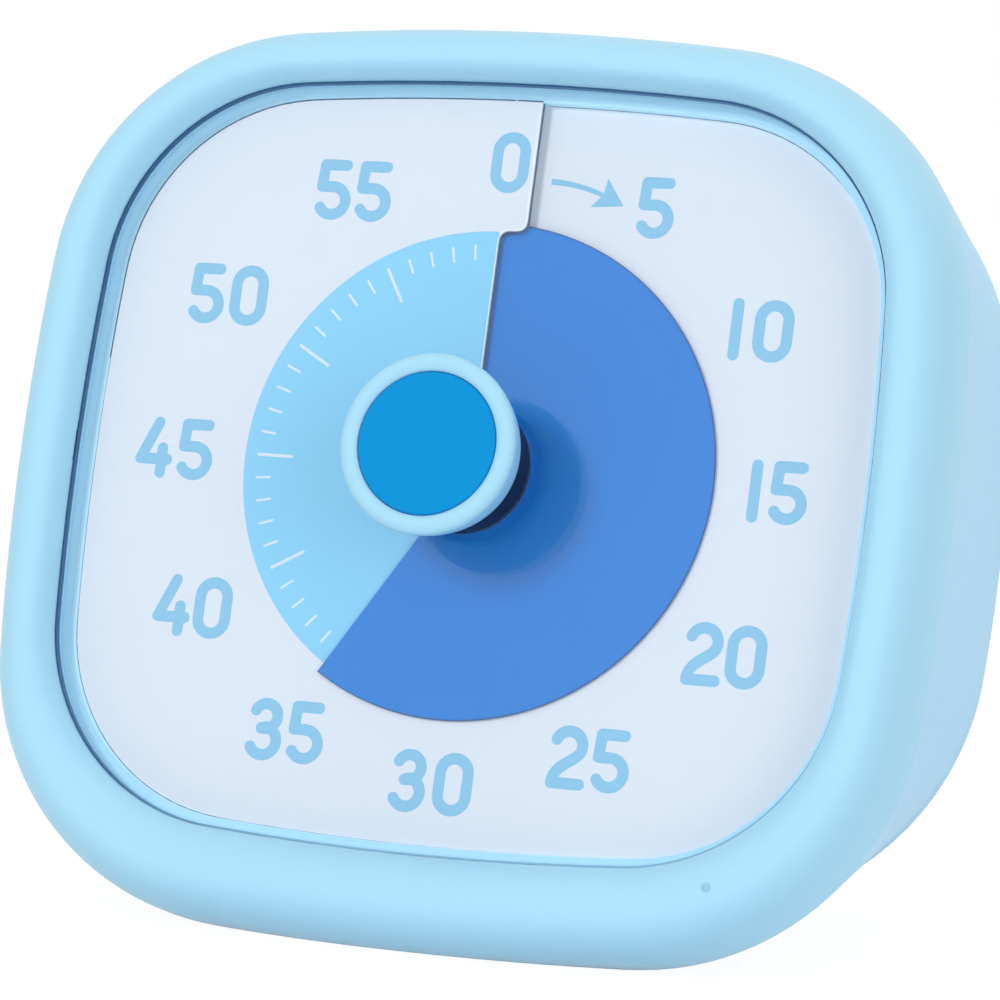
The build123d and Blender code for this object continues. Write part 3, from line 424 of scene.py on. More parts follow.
# ---- node materials --------------------------------------------------------------------
class Wire:
    """An output socket; arithmetic on it adds Math nodes."""

    def __init__(self, finish, socket):
        self.finish = finish
        self.socket = socket

    def math(self, operation, *values):
        """Output of a Math node on wires and numbers."""
        return self.finish.node(
            "ShaderNodeMath", {"operation": operation}, dict(enumerate(values))
        )

    def __add__(self, other):
        return self.math("ADD", self, other)

    __radd__ = __add__

    def __sub__(self, other):
        return self.math("SUBTRACT", self, other)

    def __rsub__(self, other):
        return self.math("SUBTRACT", other, self)

    def __mul__(self, other):
        return self.math("MULTIPLY", self, other)

    __rmul__ = __mul__

    def __pow__(self, other):
        return self.math("POWER", self, other)

    def __rpow__(self, other):
        return self.math("POWER", other, self)

    def __gt__(self, other):
        return self.math("GREATER_THAN", self, other)

    def __lt__(self, other):
        return self.math("LESS_THAN", self, other)

    def __abs__(self):
        return self.math("ABSOLUTE", self)

    def either(self, other):
        """The larger of two shares."""
        return self.math("MAXIMUM", self, other)

    def wave(self):
        """Sine, from -1 to 1."""
        return self.math("SINE", self)

    def rise(self, low, high):
        """0 below low, 1 above high, smooth in between."""
        return self.finish.node(
            "ShaderNodeMapRange",
            {"interpolation_type": "SMOOTHSTEP"},
            {"Value": self, "From Min": low, "From Max": high},
        )


class Finish:
    """The nodes of a material or of the world, under construction."""

    def __init__(self, name, store="materials"):
        self.owner = getattr(bpy.data, store).new(name)
        self.owner.use_nodes = True
        self.tree = self.owner.node_tree
        self.tree.nodes.clear()

    def node(self, kind, settings=None, values=None, output=0):
        """Output of a new node, or nothing for an output node.

        Its settings are set first, then its sockets get their values or links.
        """
        made = self.tree.nodes.new(kind)
        for key, value in (settings or {}).items():
            setattr(made, key, value)
        for key, value in (values or {}).items():
            socket = made.inputs[key]
            if isinstance(value, Wire):
                self.tree.links.new(value.socket, socket)
            else:
                socket.default_value = value
        return None if output is None else Wire(self, made.outputs[output])

    def place(self):
        """The point on the surface in the dial frame, in millimetres."""
        here = self.node("ShaderNodeTexCoord", output="Object")
        return self.node(
            "ShaderNodeMapping",
            {"vector_type": "TEXTURE"},
            {
                "Vector": here,
                "Location": tuple(CENTRE),
                "Rotation": (pi / 2 - LEAN, 0.0, 0.0),
                "Scale": (MM, MM, MM),
            },
        )

    def parts(self, vector):
        """x, y and z of a vector."""
        split = self.node("ShaderNodeSeparateXYZ", None, {0: vector}).socket.node
        return [Wire(self, socket) for socket in split.outputs]

    def vector(self, x, y=0.0, z=0.0):
        """Vector from its parts."""
        return self.node("ShaderNodeCombineXYZ", None, {0: x, 1: y, 2: z})

    def length(self, vector):
        """Length of a vector."""
        return self.node(
            "ShaderNodeVectorMath", {"operation": "LENGTH"}, {0: vector}, output="Value"
        )

    def noise(self, vector, size, detail=2.0, roughness=0.5):
        """Noise whose lumps are about size millimetres across."""
        return self.node(
            "ShaderNodeTexNoise",
            None,
            {"Vector": vector, "Scale": 1.0 / size, "Detail": detail, "Roughness": roughness},
        )

    def blend(self, share, first, second):
        """Colour between two colours."""
        return self.node(
            "ShaderNodeMix", {"data_type": "RGBA"}, {0: share, 6: first, 7: second}, output=2
        )

    def bump(self, height, depth, strength=1.0):
        """Normal from a height of 0 to 1, depth in millimetres."""
        return self.node(
            "ShaderNodeBump",
            None,
            {"Height": height, "Distance": depth * MM, "Strength": strength},
        )

    def seen(self):
        """1 where the camera sees the point, directly, mirrored or through glass, else 0."""
        rays = self.node("ShaderNodeLightPath").socket.node.outputs
        straight = Wire(self, rays["Is Camera Ray"])
        mirrored = Wire(self, rays["Is Glossy Ray"])
        return straight.either(mirrored).either(Wire(self, rays["Is Transmission Ray"]))

    def principled(self, **values):
        """Principled surface; specular_ior_level names the socket Specular IOR Level."""
        names = {key.replace("_", " ").title(): value for key, value in values.items()}
        names = {key.replace("Ior", "IOR"): value for key, value in names.items()}
        return self.node("ShaderNodeBsdfPrincipled", None, names)

    def mix(self, share, first, second):
        """Mix of two surfaces; a share of 0 gives the first."""
        return self.node("ShaderNodeMixShader", None, {0: share, 1: first, 2: second})

    def surface(self, **values):
        """Ends the material in a Principled surface and returns the material."""
        return self.end(self.principled(**values))

    def end(self, shader, output="ShaderNodeOutputMaterial"):
        """Links the shader to the output node and returns the finished material or world."""
        self.node(output, None, {"Surface": shader}, output=None)
        return self.owner


def shade(colour, factor):
    """A colour made lighter or darker, with full alpha."""
    return tuple(min(1.0, part * factor) for part in colour[:3]) + (1.0,)


def moulded_plastic(name, colour, roughness=0.42, grain=0.16, depth=0.004, sheen=0.5, painted_glow=0.0):
    """Moulded plastic: flow marks a few centimetres long, spark texture, soft sheen.

    Painted glow is emission: the plastic gives off light of its own, painted light that stands
    for light coming through a slim wall from the plastic round it.
    """
    finish = Finish(name)
    place = finish.place()
    flow = finish.noise(place, 26.0, 3.0)
    spark = finish.noise(place, grain, 3.0, 0.6)
    dust = finish.noise(place, 2.2, 4.0, 0.65)
    base = finish.blend(flow, shade(colour, 0.975), shade(colour, 1.02))
    base = finish.blend((dust - 0.5) * 0.10 + 0.05, base, shade(colour, 0.93))
    rough = roughness + (dust - 0.5) * 0.10 + (spark - 0.5) * 0.05
    return finish.surface(
        base_color=base,
        roughness=rough,
        normal=finish.bump(spark, depth, 0.6),
        specular_ior_level=sheen,
        ior=1.48,
        emission_color=base,
        emission_strength=painted_glow,
    )


def printed_card(name, colour):
    """Coated white card: very fine fibre in colour and height. In a whiter colour it also makes
    the painted highlight along the dial's step.
    """
    finish = Finish(name)
    place = finish.place()
    fibre = finish.noise(place, 0.35, 4.0, 0.7)
    cloud = finish.noise(place, 9.0, 2.0)
    base = finish.blend(fibre * 0.5 + cloud * 0.5, shade(colour, 0.985), shade(colour, 1.01))
    return finish.surface(
        base_color=base,
        roughness=0.5 + (fibre - 0.5) * 0.12,
        normal=finish.bump(fibre, 0.003, 0.5),
        ior=1.46,
    )


def printing_ink(name, colour, roughness=0.45):
    """Screen-printed ink: faint mesh of the screen and uneven cover. In a dark colour it also
    makes the painted shadow lines at the dial's edges.
    """
    finish = Finish(name)
    place = finish.place()
    x, y, _ = finish.parts(place)
    mesh = (x * 26.0).wave() * (y * 26.0).wave()
    cover = finish.noise(place, 0.8, 3.0, 0.6)
    base = finish.blend(cover, shade(colour, 0.975), shade(colour, 1.03))
    return finish.surface(
        base_color=base,
        roughness=roughness + (cover - 0.5) * 0.1,
        normal=finish.bump(mesh * 0.2 + cover, 0.002, 0.5),
        ior=1.46,
    )


def coloured_film(name, colour):
    """Cut plastic film: even colour, fine scratches round the axis, darker in a narrow band at
    its outer rim.
    """
    finish = Finish(name)
    place = finish.place()
    x, y, _ = finish.parts(place)
    radius = finish.length(finish.vector(x, y))
    rings = finish.noise(finish.vector(radius * 6.0), 1.0, 4.0)
    cloud = finish.noise(place, 6.0, 3.0)
    base = finish.blend(cloud * 0.6 + rings * 0.4, shade(colour, 0.96), shade(colour, 1.04))
    edge = (radius - FILM_RADIUS + EDGE_WIDTH) * 10.0
    base = finish.blend(edge, base, shade(colour, 0.45))
    return finish.surface(
        base_color=base,
        roughness=0.36 + (rings - 0.5) * 0.14,
        normal=finish.bump(rings, 0.002, 0.5),
        specular_ior_level=0.12,
        ior=1.5,
    )


def turned_metal(name, colour, roughness=0.28):
    """Bright metal with fine drawn lines and slight tarnish."""
    finish = Finish(name)
    place = finish.place()
    x, y, z = finish.parts(place)
    lines = finish.noise(finish.vector(x * 12.0, y * 12.0, z), 1.0, 3.0, 0.7)
    tarnish = finish.noise(place, 1.6, 4.0, 0.6)
    base = finish.blend(tarnish, shade(colour, 0.85), shade(colour, 1.05))
    return finish.surface(
        base_color=base,
        metallic=1.0,
        roughness=roughness + (lines - 0.5) * 0.2 + (tarnish - 0.5) * 0.1,
        normal=finish.bump(lines, 0.004, 0.5),
    )


def laminate(name, colour):
    """Circuit board: weave under the green mask and pale copper tracks."""
    finish = Finish(name)
    place = finish.place()
    x, y, _ = finish.parts(place)
    weave = (x * 5.0).wave() * (y * 5.0).wave()
    tracks = abs((x * 1.1 + finish.noise(place, 9.0, 0.0) * 4.0).wave()) < 0.16
    base = finish.blend(weave * 0.25 + 0.5, shade(colour, 0.85), shade(colour, 1.1))
    base = finish.blend(tracks * 0.5, base, shade(colour, 2.2))
    return finish.surface(
        base_color=base,
        roughness=0.35 + tracks * 0.08,
        normal=finish.bump(weave * 0.3 + tracks, 0.01, 0.6),
        ior=1.5,
    )


def cell_sleeve(name, colour, end_colour):
    """Battery sleeve: dark body, plain coloured end towards the positive pole."""
    finish = Finish(name)
    place = finish.place()
    x, _, _ = finish.parts(place)
    flecks = finish.noise(place, 0.5, 4.0, 0.7)
    band = x > BAND_X
    base = finish.blend(band, shade(colour, 1.0), shade(end_colour, 1.0))
    nub = x > NUB_X
    base = finish.blend(nub, base, (0.75, 0.75, 0.74, 1.0))
    return finish.surface(
        base_color=base,
        metallic=nub * 0.9 + band * 0.1,
        roughness=0.3 + (flecks - 0.5) * 0.1,
        normal=finish.bump(flecks, 0.002, 0.5),
        ior=1.5,
    )


def clear_window(name):
    """Clear acrylic: nearly all light passes, and the rest mirrors.

    The mirrored share is 3.9% face on and grows to all of it at a grazing angle, with the
    fifth power of 1 - cos(angle).
    """
    finish = Finish(name)
    place = finish.place()
    haze = finish.noise(place, 14.0, 3.0)
    wipe = finish.noise(place, 0.6, 3.0, 0.6)
    light = finish.node("ShaderNodeBsdfTransparent", None, {"Color": (0.985, 0.992, 1.0, 1.0)})
    gloss = finish.principled(
        base_color=(0.9, 0.95, 1.0, 1.0), metallic=1.0, roughness=0.002 + wipe * 0.008
    )
    facing = finish.node("ShaderNodeLayerWeight", None, {"Blend": 0.5}, output="Facing")
    mirror = FACE_ON + facing**5.0 * (1.0 - FACE_ON)
    return finish.end(finish.mix(mirror * (0.94 + haze * 0.1), light, gloss))


def glue_bead(name, deep_shade, pale_shade):
    """Painted shadow in the gap round the window: dark at the upper left, where the gap is in
    shade, and paler towards the lower right.
    """
    finish = Finish(name)
    place = finish.place()
    x, y, _ = finish.parts(place)
    flow = finish.noise(place, 5.0, 3.0)
    share = (x * 0.6 - y + (flow - 0.5) * 4.0).rise(9.0, 29.0)
    return finish.surface(
        base_color=finish.blend(share, shade(deep_shade, 1.0), shade(pale_shade, 1.0)),
        roughness=0.35 + (flow - 0.5) * 0.1,
        normal=finish.bump(flow, 0.002, 0.5),
        ior=1.48,
    )


def clear_edge(name):
    """Polished edge of the clear sheet: light passes and takes on a little blue."""
    finish = Finish(name)
    cloud = finish.noise(finish.place(), 3.0, 2.0)
    tint = finish.blend(cloud, (0.90, 0.97, 1.0, 1.0), (0.84, 0.94, 1.0, 1.0))
    light = finish.node("ShaderNodeBsdfTransparent", None, {"Color": (0.95, 0.985, 1.0, 1.0)})
    return finish.end(finish.mix(0.05, light, finish.principled(base_color=tint, roughness=0.25)))


# ---- settings --------------------------------------------------------------------------
def colour_setting(title, description, default):
    """Property that holds a colour."""
    return bpy.props.FloatVectorProperty(
        name=title, description=description, subtype="COLOR", size=3, default=default
    )


def size_setting(title, description, default, low, high):
    """Property that holds a size in millimetres."""
    return bpy.props.FloatProperty(
        name=title,
        description=description + ", in millimetres",
        default=default,
        min=low,
        max=high,
    )


class TimerLook(bpy.types.PropertyGroup):
    """Colours of the timer."""

    body: colour_setting("Body", "Colour of the moulded housing", (0.42, 0.77, 0.96))
    disc: colour_setting(
        "Time disc", "Colour of the film disc that shows the time left", (0.012, 0.232, 0.71)
    )
    dial: colour_setting("Dial", "Colour of the dial card", (0.82, 0.88, 0.945))
    print_colour: colour_setting(
        "Printing", "Colour of the numerals and the arrow", (0.265, 0.605, 0.84)
    )
    cap: colour_setting("Knob cap", "Colour of the inlay in the knob", (0.003, 0.30, 0.69))


class TimerSizes(bpy.types.PropertyGroup):
    """Sizes of the printed scale."""

    numeral_height: size_setting("Numeral height", "Height of the numerals", 5.2, 2.0, 7.0)
    numeral_stroke: size_setting("Stroke", "Width of the numerals' strokes", 0.94, 0.3, 1.5)
    numeral_reach: size_setting(
        "Numeral circle", "Radius of the circle on which the numerals stand", 26.4, 23.0, 28.0
    )
    tick_end: size_setting("Tick circle", "Radius at which the ticks end", 18.8, 10.0, 20.0)


# ---- printed scale ---------------------------------------------------------------------
def ribbon(path, width, lift, closed=False, face=dial_top):
    """Flat inked stroke with round ends: a width carried along a path on the dial's face.

    The half width is constant, and past both ends it follows a half circle: sqrt(r^2 - d^2)
    at a distance d past the end of the path. A closed path has no ends.
    """
    path = np.asarray(path, float)
    radius = width / 2
    if closed:
        along = np.roll(path, -1, 0) - np.roll(path, 1, 0)
        reach = np.full(len(path), radius)
    else:
        turn = np.radians(np.linspace(2, 90, 9))[:-1]
        first = path[0] - path[1]
        last = path[-1] - path[-2]
        first /= np.linalg.norm(first)
        last /= np.linalg.norm(last)
        head = path[0] + first * (radius * np.cos(turn))[:, None]
        tail = path[-1] + last * (radius * np.cos(turn))[::-1, None]
        round_end = radius * np.sin(turn)
        reach = np.concatenate([round_end, np.full(len(path), radius), round_end[::-1]])
        path = np.concatenate([head, path, tail])
        along = np.gradient(path, axis=0)
    side = left_of(along) * reach[:, None]
    left, right = path + side, path - side
    low = lift - INK_DEPTH
    points = np.stack([face(left, lift), face(right, lift), face(right, low), face(left, low)], 1)
    return grid(points, True) if closed else closed_grid(points)


def bezier(a, b, c, d, steps):
    """Points along a cubic curve, weighting four points by the Bernstein polynomials."""
    t = np.linspace(0, 1, steps + 1)[:, None]
    a, b, c, d = (np.array(point, float) for point in (a, b, c, d))
    return (1 - t) ** 3 * a + 3 * t * (1 - t) ** 2 * b + 3 * t**2 * (1 - t) * c + t**3 * d


def line(a, b, steps=8):
    """Evenly spaced points along a straight line: a (1 - t) + b t."""
    t = np.linspace(0, 1, steps + 1)[:, None]
    return np.array(a) * (1 - t) + np.array(b) * t


def join(*runs):
    """Runs laid end to end, without repeated points."""
    whole = np.concatenate([np.asarray(run, float) for run in runs])
    keep = np.linalg.norm(np.diff(whole, axis=0), axis=1) > 1e-4
    return whole[np.concatenate([[True], keep])]


def digit(figure, top):
    """Middle lines of the strokes of a numeral; top is half the height of those lines.

    Each list holds (path, closed). Round numerals are arcs joined by lines, and sharp
    corners are two strokes that meet in their round ends.
    """
    if figure == 0:
        round_end = 1.2
        level = top - round_end
        loop = join(
            arc((0, level), round_end, 0, 180, 24),
            line((-round_end, level), (-round_end, -level)),
            arc((0, -level), round_end, 180, 360, 24),
            line((round_end, -level), (round_end, level)),
        )
        return [(loop[:-1], True)]
    if figure == 1:
        return [(line((0, top), (0, -top)), False)]
    if figure == 2:
        head = arc((0, top - 1.16), 1.16, 158, -32, 26)
        foot = bezier(head[-1], (0.45, -0.35), (-1.16, -0.75), (-1.16, -top), 16)
        base = line((-1.16, -top), (1.2, -top))
        return [(join(head, foot), False), (base, False)]
    if figure == 3:
        waist = top - 2.06
        head = arc((0.0, top - 1.03), 1.03, 155, -90, 26)
        bar = line((0, waist), (-0.3, waist), 3)
        bowl = arc((-0.03, -top + 1.17), 1.17, 82, -152, 28)
        return [(join(head, bar), False), (line(bar[-1], bowl[0], 4), False), (bowl, False)]
    if figure == 4:
        return [
            (line((0.12, top), (-1.22, -1.0)), False),
            (line((-1.22, -1.0), (1.2, -1.0)), False),
            (line((0.7, -0.05), (0.7, -top)), False),
        ]
    level = -top + 2 * 1.19
    bowl = arc((0.02, -top + 1.19), 1.19, 90, -149, 30)
    return [
        (line((1.0, top), (-0.92, top)), False),
        (line((-0.92, top), (-1.02, level)), False),
        (join(line((-1.02, level), (0.02, level)), bowl), False),
    ]


def numeral_strokes(sizes):
    """All the numerals, upright, near their five-minute marks.

    The printed dial sets some of them by eye: each entry below moves a numeral right and
    up and opens the pitch of its two figures, in millimetres. Strokes that meet lie at
    slightly different heights.
    """
    top = (sizes.numeral_height - sizes.numeral_stroke) / 2
    by_eye = {
        5: (-0.42, 0.08, 0.0),
        10: (-0.55, 0.0, 0.0),
        15: (-1.0, 0.0, -0.38),
        20: (0.55, -0.35, 0.0),
        30: (0.0, -0.05, 0.3),
        50: (-0.68, 0.2, 0.25),
        55: (-0.3, 0.0, 0.0),
    }
    strokes = []
    for minute in range(0, 60, 5):
        reach = sizes.numeral_reach - (AXIS_INSET if minute in (0, 30) else 0.0)
        right, up, opened = by_eye.get(minute, (0.0, 0.0, 0.0))
        middle = reach * bearings(6 * minute) + [right, up]
        figures = [int(letter) for letter in str(minute)]
        first = -(len(figures) - 1) / 2
        for order, figure in enumerate(figures):
            shift = (first + order) * (FIGURE_PITCH + opened)
            shift += ONE_SHIFT if figure == 1 else 0.0
            shift = ZERO_SHIFT if minute == 0 else shift
            for path, closed in digit(figure, top):
                lift = NUMERAL_LIFT + NUMERAL_STEP * (len(strokes) % 3)
                placed = path + middle + [shift, 0]
                strokes.append(ribbon(placed, sizes.numeral_stroke, lift, closed))
    return strokes


def tick_strokes(sizes):
    """Minute ticks under the disc, longer every five minutes."""
    strokes = []
    for minute in range(1, 60):
        length, width = LONG_TICK if minute % 5 == 0 else SHORT_TICK
        way = bearings(6 * minute)
        path = line(way * (sizes.tick_end - length), way * sizes.tick_end, 3)
        strokes.append(ribbon(path, width, TICK_LIFT))
    return strokes


def circle_sheet():
    """Printed circle: a thin sheet on the dial's helix, (r sin a, r cos a, rise a / 360)."""
    angles = np.linspace(0, 360, 181)
    radius = np.linspace(DIAL_BORE, CIRCLE_RADIUS, 16)
    flat = bearings(angles)[:, None] * radius[None, :, None]
    top = raised(flat, DIAL_RISE * angles[:, None] / 360 + CIRCLE_LIFT)
    return sheet(top, top - [0, 0, CIRCLE_DEPTH])


def direction_arrow():
    """Curved shaft, square at its start, and a swept head that points at the five.

    The shaft's middle line is a cubic, and its half width falls evenly along it. The head
    is a kite, given by the radius and the angle from the top of its four corners.
    """
    shaft = bezier((3.5, 24.74), (5.1, 24.72), (6.7, 24.36), (8.19, 23.78), 16)
    half_width = np.linspace(0.25, 0.19, len(shaft))[:, None]
    side = left_of(np.gradient(shaft, axis=0)) * half_width
    band = np.concatenate([shaft + side, (shaft - side)[::-1]])
    kite = np.array([(25.05, 23.6), (26.6, 18.4), (25.2, 18.9), (23.85, 17.4)])
    corners = kite[:, :1] * bearings(kite[:, 1])
    after = np.roll(corners, -1, 0)
    head = np.concatenate([line(a, b, 6)[:-1] for a, b in zip(corners, after)])
    parts = []
    for edge, height in ((band, 0.024), (head, 0.028)):
        parts.append(closed_grid(np.stack([dial_top(edge, 0.0), dial_top(edge, height)])))
    return parts


# ---- operators -------------------------------------------------------------------------
class TIMER_OT_housing(bpy.types.Operator):
    """Finishes the front bezel, the rear shell and the battery door"""

    bl_idname = "timer.housing"
    bl_label = "Housing"

    def execute(self, context):
        colour = tuple(context.scene.timer_look.body)
        # painted light: the rear shell takes the body colour made a little more blue, for the
        # bluish light on its side wall
        body_painted_blue_light = shade((colour[0], colour[1] * 0.98, colour[2] * 1.04), 1.0)
        finish_nodes({
            "front_bezel": moulded_plastic("bezel plastic", colour),
            "rear_shell": moulded_plastic("shell plastic", body_painted_blue_light, 0.45),
            "battery_door": moulded_plastic("door plastic", shade(colour, 0.97), 0.46),
        })
        return {"FINISHED"}


def finish_nodes(finishes):
    """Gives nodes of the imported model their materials."""
    for name, material in finishes.items():
        slots = frame["nodes"][name].data.materials
        slots.clear()
        slots.append(material)


class TIMER_OT_window(bpy.types.Operator):
    """Builds the clear window, the painted shadow in the gap round it and the dark bar of painted
    shade in the slot beside it
    """

    bl_idname = "timer.window"
    bl_label = "Window"

    def execute(self, context):
        clear = clear_window("clear acrylic")
        rim = clear_edge("acrylic edge")
        pane = [window_shell()]
        piece("window_pane", pane, "housing", clear, ("window_lens",), edge=rim)
        # painted shadow: a dark ring in the gap round the window, darkest where the gap is most
        # in shade
        gap_shade = glue_bead("painted gap shadow", (0.02, 0.10, 0.24), (0.26, 0.50, 0.66))
        piece("window_gap_shadow", [glue_ring()], "housing", gap_shade)
        # painted shade: a dark bar in the slot beside the window, where the hollow behind the
        # slot is in shade
        dark = moulded_plastic("painted slot shadow", (0.001, 0.005, 0.02), 0.5, 0.3, 0.002, 0.1)
        piece("window_slot_shadow", [catch_bar()], "housing", dark)
        return {"FINISHED"}


def window_shell():
    """Window as outlines that follow its section right round.

    From the bevelled front down the side, round the flange and the hollow behind it, then
    over the back to the knob's hole and up through the hole to the front.
    """
    rows = window_rows(
        [
            (-LENS_BEVEL, LENS_TOP_Z),
            (0.0, LENS_TOP_Z - LENS_BEVEL),
            (0.0, LENS_BACK_Z),
            (FLANGE_REACH, LENS_BACK_Z),
            (FLANGE_REACH, FLANGE_BACK_Z),
            (-FLANGE_INNER, FLANGE_BACK_Z),
            (-FLANGE_INNER, LENS_BACK_Z),
        ]
    )
    way = rows[0, :, :2] / np.linalg.norm(rows[0, :, :2], axis=1)[:, None]
    hole = [
        raised(way * HOLE_RADIUS, LENS_BACK_Z),
        raised(way * HOLE_RADIUS, LENS_TOP_Z - HOLE_BEVEL),
        raised(way * (HOLE_RADIUS + HOLE_BEVEL), LENS_TOP_Z),
    ]
    return grid(np.concatenate([rows, np.stack(hole)]), True)


def glue_ring():
    """Painted shadow in the gap between the window and the bezel: a box section along the
    outline.
    """
    section = [
        (GAP_SHADOW_INNER, GAP_SHADOW_LOW_Z),
        (GAP_SHADOW_INNER, GAP_SHADOW_TOP_Z),
        (GAP_SHADOW_OUTER, GAP_SHADOW_TOP_Z),
        (GAP_SHADOW_OUTER, GAP_SHADOW_LOW_Z),
    ]
    return grid(window_rows(section), True)


def catch_bar():
    """Round-ended dark bar in the slot beside the window, painted shade for the hollow behind the
    slot: a stadium swept out along z.
    """
    upper = arc((0, SLOT_SHADOW_REACH), SLOT_SHADOW_RADIUS, 0, 180, 10)
    lower = arc((0, -SLOT_SHADOW_REACH), SLOT_SHADOW_RADIUS, 180, 360, 10)
    flat = np.concatenate([upper, lower]) + SLOT_SHADOW_PLACE
    return closed_grid(np.stack([raised(flat, SLOT_SHADOW_LOW_Z), raised(flat, SLOT_SHADOW_TOP_Z)]))


class TIMER_OT_dial(bpy.types.Operator):
    """Builds the helical dial card, the painted highlight along its raised step and the painted
    shadow lines at its edges
    """

    bl_idname = "timer.dial"
    bl_label = "Dial"

    def execute(self, context):
        card = printed_card("dial card", tuple(context.scene.timer_look.dial))
        piece("dial_card", [dial_sheet()], "housing", card, ("dial_plate",), 30)
        # painted highlight: a whiter strip of card along the step's edge
        bright = printed_card("painted edge highlight", (0.93, 0.97, 1.0))
        piece("step_trim", step_trim(), "housing", bright)
        # painted shadow: dark lines where the gaps at the dial's edges are in shade
        shadow = printing_ink("painted edge shadow", (0.03, 0.12, 0.22), 0.6)
        piece("dial_gap", dial_gap(), "housing", shadow)
        return {"FINISHED"}


def dial_sheet():
    """One turn of a helix from the bore to the window's outline.

    Rows are rays at even angles, (r sin a, r cos a, rise a / 360). They start four degrees
    before the zero, under the tab. The last rows blend from a ray into the edge of the step,
    which runs up beside the disc, turns out over the tab and goes on to the rim.
    """
    columns = 60
    angles = np.linspace(-4, 345, 175)
    far = window_reach(DIAL_INSET, angles % 360)
    radius = DIAL_BORE + (far[:, None] - DIAL_BORE) * np.linspace(0, 1, columns)
    flat = radius[..., None] * bearings(angles)[:, None]
    blend = np.linspace(0, 1, 13)[1:, None, None]
    closing = flat[-1] * (1 - blend) + step_edge(columns) * blend
    rim = window_reach(DIAL_INSET, bearing_of(closing[:, -1]))
    closing[:, -1] *= (rim / np.linalg.norm(closing[:, -1], axis=1))[:, None]
    climb = bearing_of(closing)
    climb = np.where(climb < 180, climb + 360, climb)
    angle = np.concatenate([np.broadcast_to(angles[:, None], radius.shape), climb])
    front = raised(np.concatenate([flat, closing]), DIAL_RISE * angle / 360)
    return sheet(front, front - [0, 0, DIAL_THICK])


def rim_path(angles):
    """Points just outside the dial's rim: (sin a, cos a) times the reach at the angle a."""
    return bearings(angles) * window_reach(EDGE_SHADOW_INSET, angles)[:, None]


def step_edge(count):
    """Raised edge at the zero: up beside the disc, out by STEP_X over the tab, and up.

    Lines joined by two quarter arcs, then count points at even distances along them.
    """
    path = join(
        line((0.0, DIAL_BORE), (0.0, STEP_Y - STEP_ROUND), 40),
        arc((STEP_ROUND, STEP_Y - STEP_ROUND), STEP_ROUND, 180, 90, 10),
        arc((STEP_X - STEP_ROUND, STEP_Y + STEP_ROUND), STEP_ROUND, -90, 0, 10),
        line((STEP_X, STEP_Y + STEP_ROUND), (STEP_X, STEP_END_Y), 40),
    )
    steps = np.linalg.norm(np.diff(path, axis=0), axis=1)
    run = np.concatenate([[0], np.cumsum(steps)])
    even = np.linspace(0, run[-1], count)
    return np.stack([np.interp(even, run, path[:, 0]), np.interp(even, run, path[:, 1])], -1)


def step_trim():
    """Painted highlight along the step's edge, for the light that the card's edge catches: wide
    on the tab, fine beside the disc.

    Each is a ribbon along the edge, moved to its left.
    """
    path = step_edge(STEP_PATH_POINTS)
    across = left_of(np.gradient(path, axis=0))
    tab = int(np.argmax(path[:, 1] > HIGHLIGHT_CHANGE_Y))
    ribbons = []
    for part, highlight_size in ((slice(tab, -1), WIDE_HIGHLIGHT), (slice(2, tab), FINE_HIGHLIGHT)):
        away, width, lift = highlight_size
        ribbons.append(ribbon((path + across * away)[part], width, lift, face=tab_top))
    return ribbons


def dial_gap():
    """Painted shadow in the gaps at the dial's edges: a narrow dark wall under the step and dark
    ribbons round the rim.

    The wall is a box section carried along the step, to the right of its edge and under
    the card's face. The rim's ribbon is in two parts, at the dial's heights on and off the tab.
    """
    path = step_edge(STEP_PATH_POINTS)
    across = left_of(np.gradient(path, axis=0))
    top = tab_top(path - across * SHADOW_WALL_INSET, SHADOW_WALL_LIFT)[1:]
    low = top - [0, 0, SHADOW_WALL_HEIGHT]
    back = raised(across[1:], 0.0) * SHADOW_WALL_THICK
    wall = np.stack([low, low - back, top - back, top], 1)
    rim = ribbon(rim_path(np.linspace(4.5, 359.7, 240)), EDGE_SHADOW_WIDTH, EDGE_SHADOW_LIFT)
    tab = ribbon(rim_path(np.linspace(0.2, 4.1, 8)), EDGE_SHADOW_WIDTH, EDGE_SHADOW_LIFT, face=tab_top)
    return [closed_grid(wall), rim, tab]


class TIMER_OT_scale(bpy.types.Operator):
    """Prints the circle, the minute ticks, the numerals and the arrow on the dial"""

    bl_idname = "timer.scale"
    bl_label = "Printed scale"

    def execute(self, context):
        look, sizes = context.scene.timer_look, context.scene.timer_sizes
        blue = printing_ink("light blue ink", tuple(look.print_colour))
        circle_ink = printing_ink("circle ink", (0.27, 0.705, 0.97))
        white = printing_ink("white ink", (0.80, 0.90, 0.98))
        piece("scale_circle", [circle_sheet()], "housing", circle_ink, (), 30)
        piece("minute_ticks", tick_strokes(sizes), "housing", white)
        piece("numerals", numeral_strokes(sizes), "housing", blue)
        piece("direction_arrow", direction_arrow(), "housing", blue)
        return {"FINISHED"}


class TIMER_OT_time_disc(bpy.types.Operator):
    """Builds the cut film disc that rides up the dial's helix"""

    bl_idname = "timer.time_disc"
    bl_label = "Time disc"

    def execute(self, context):
        film = coloured_film("blue film", tuple(context.scene.timer_look.disc))
        piece("film_disc", [film_sheet()], "disc", film, ("time_disc",), 30)
        return {"FINISHED"}


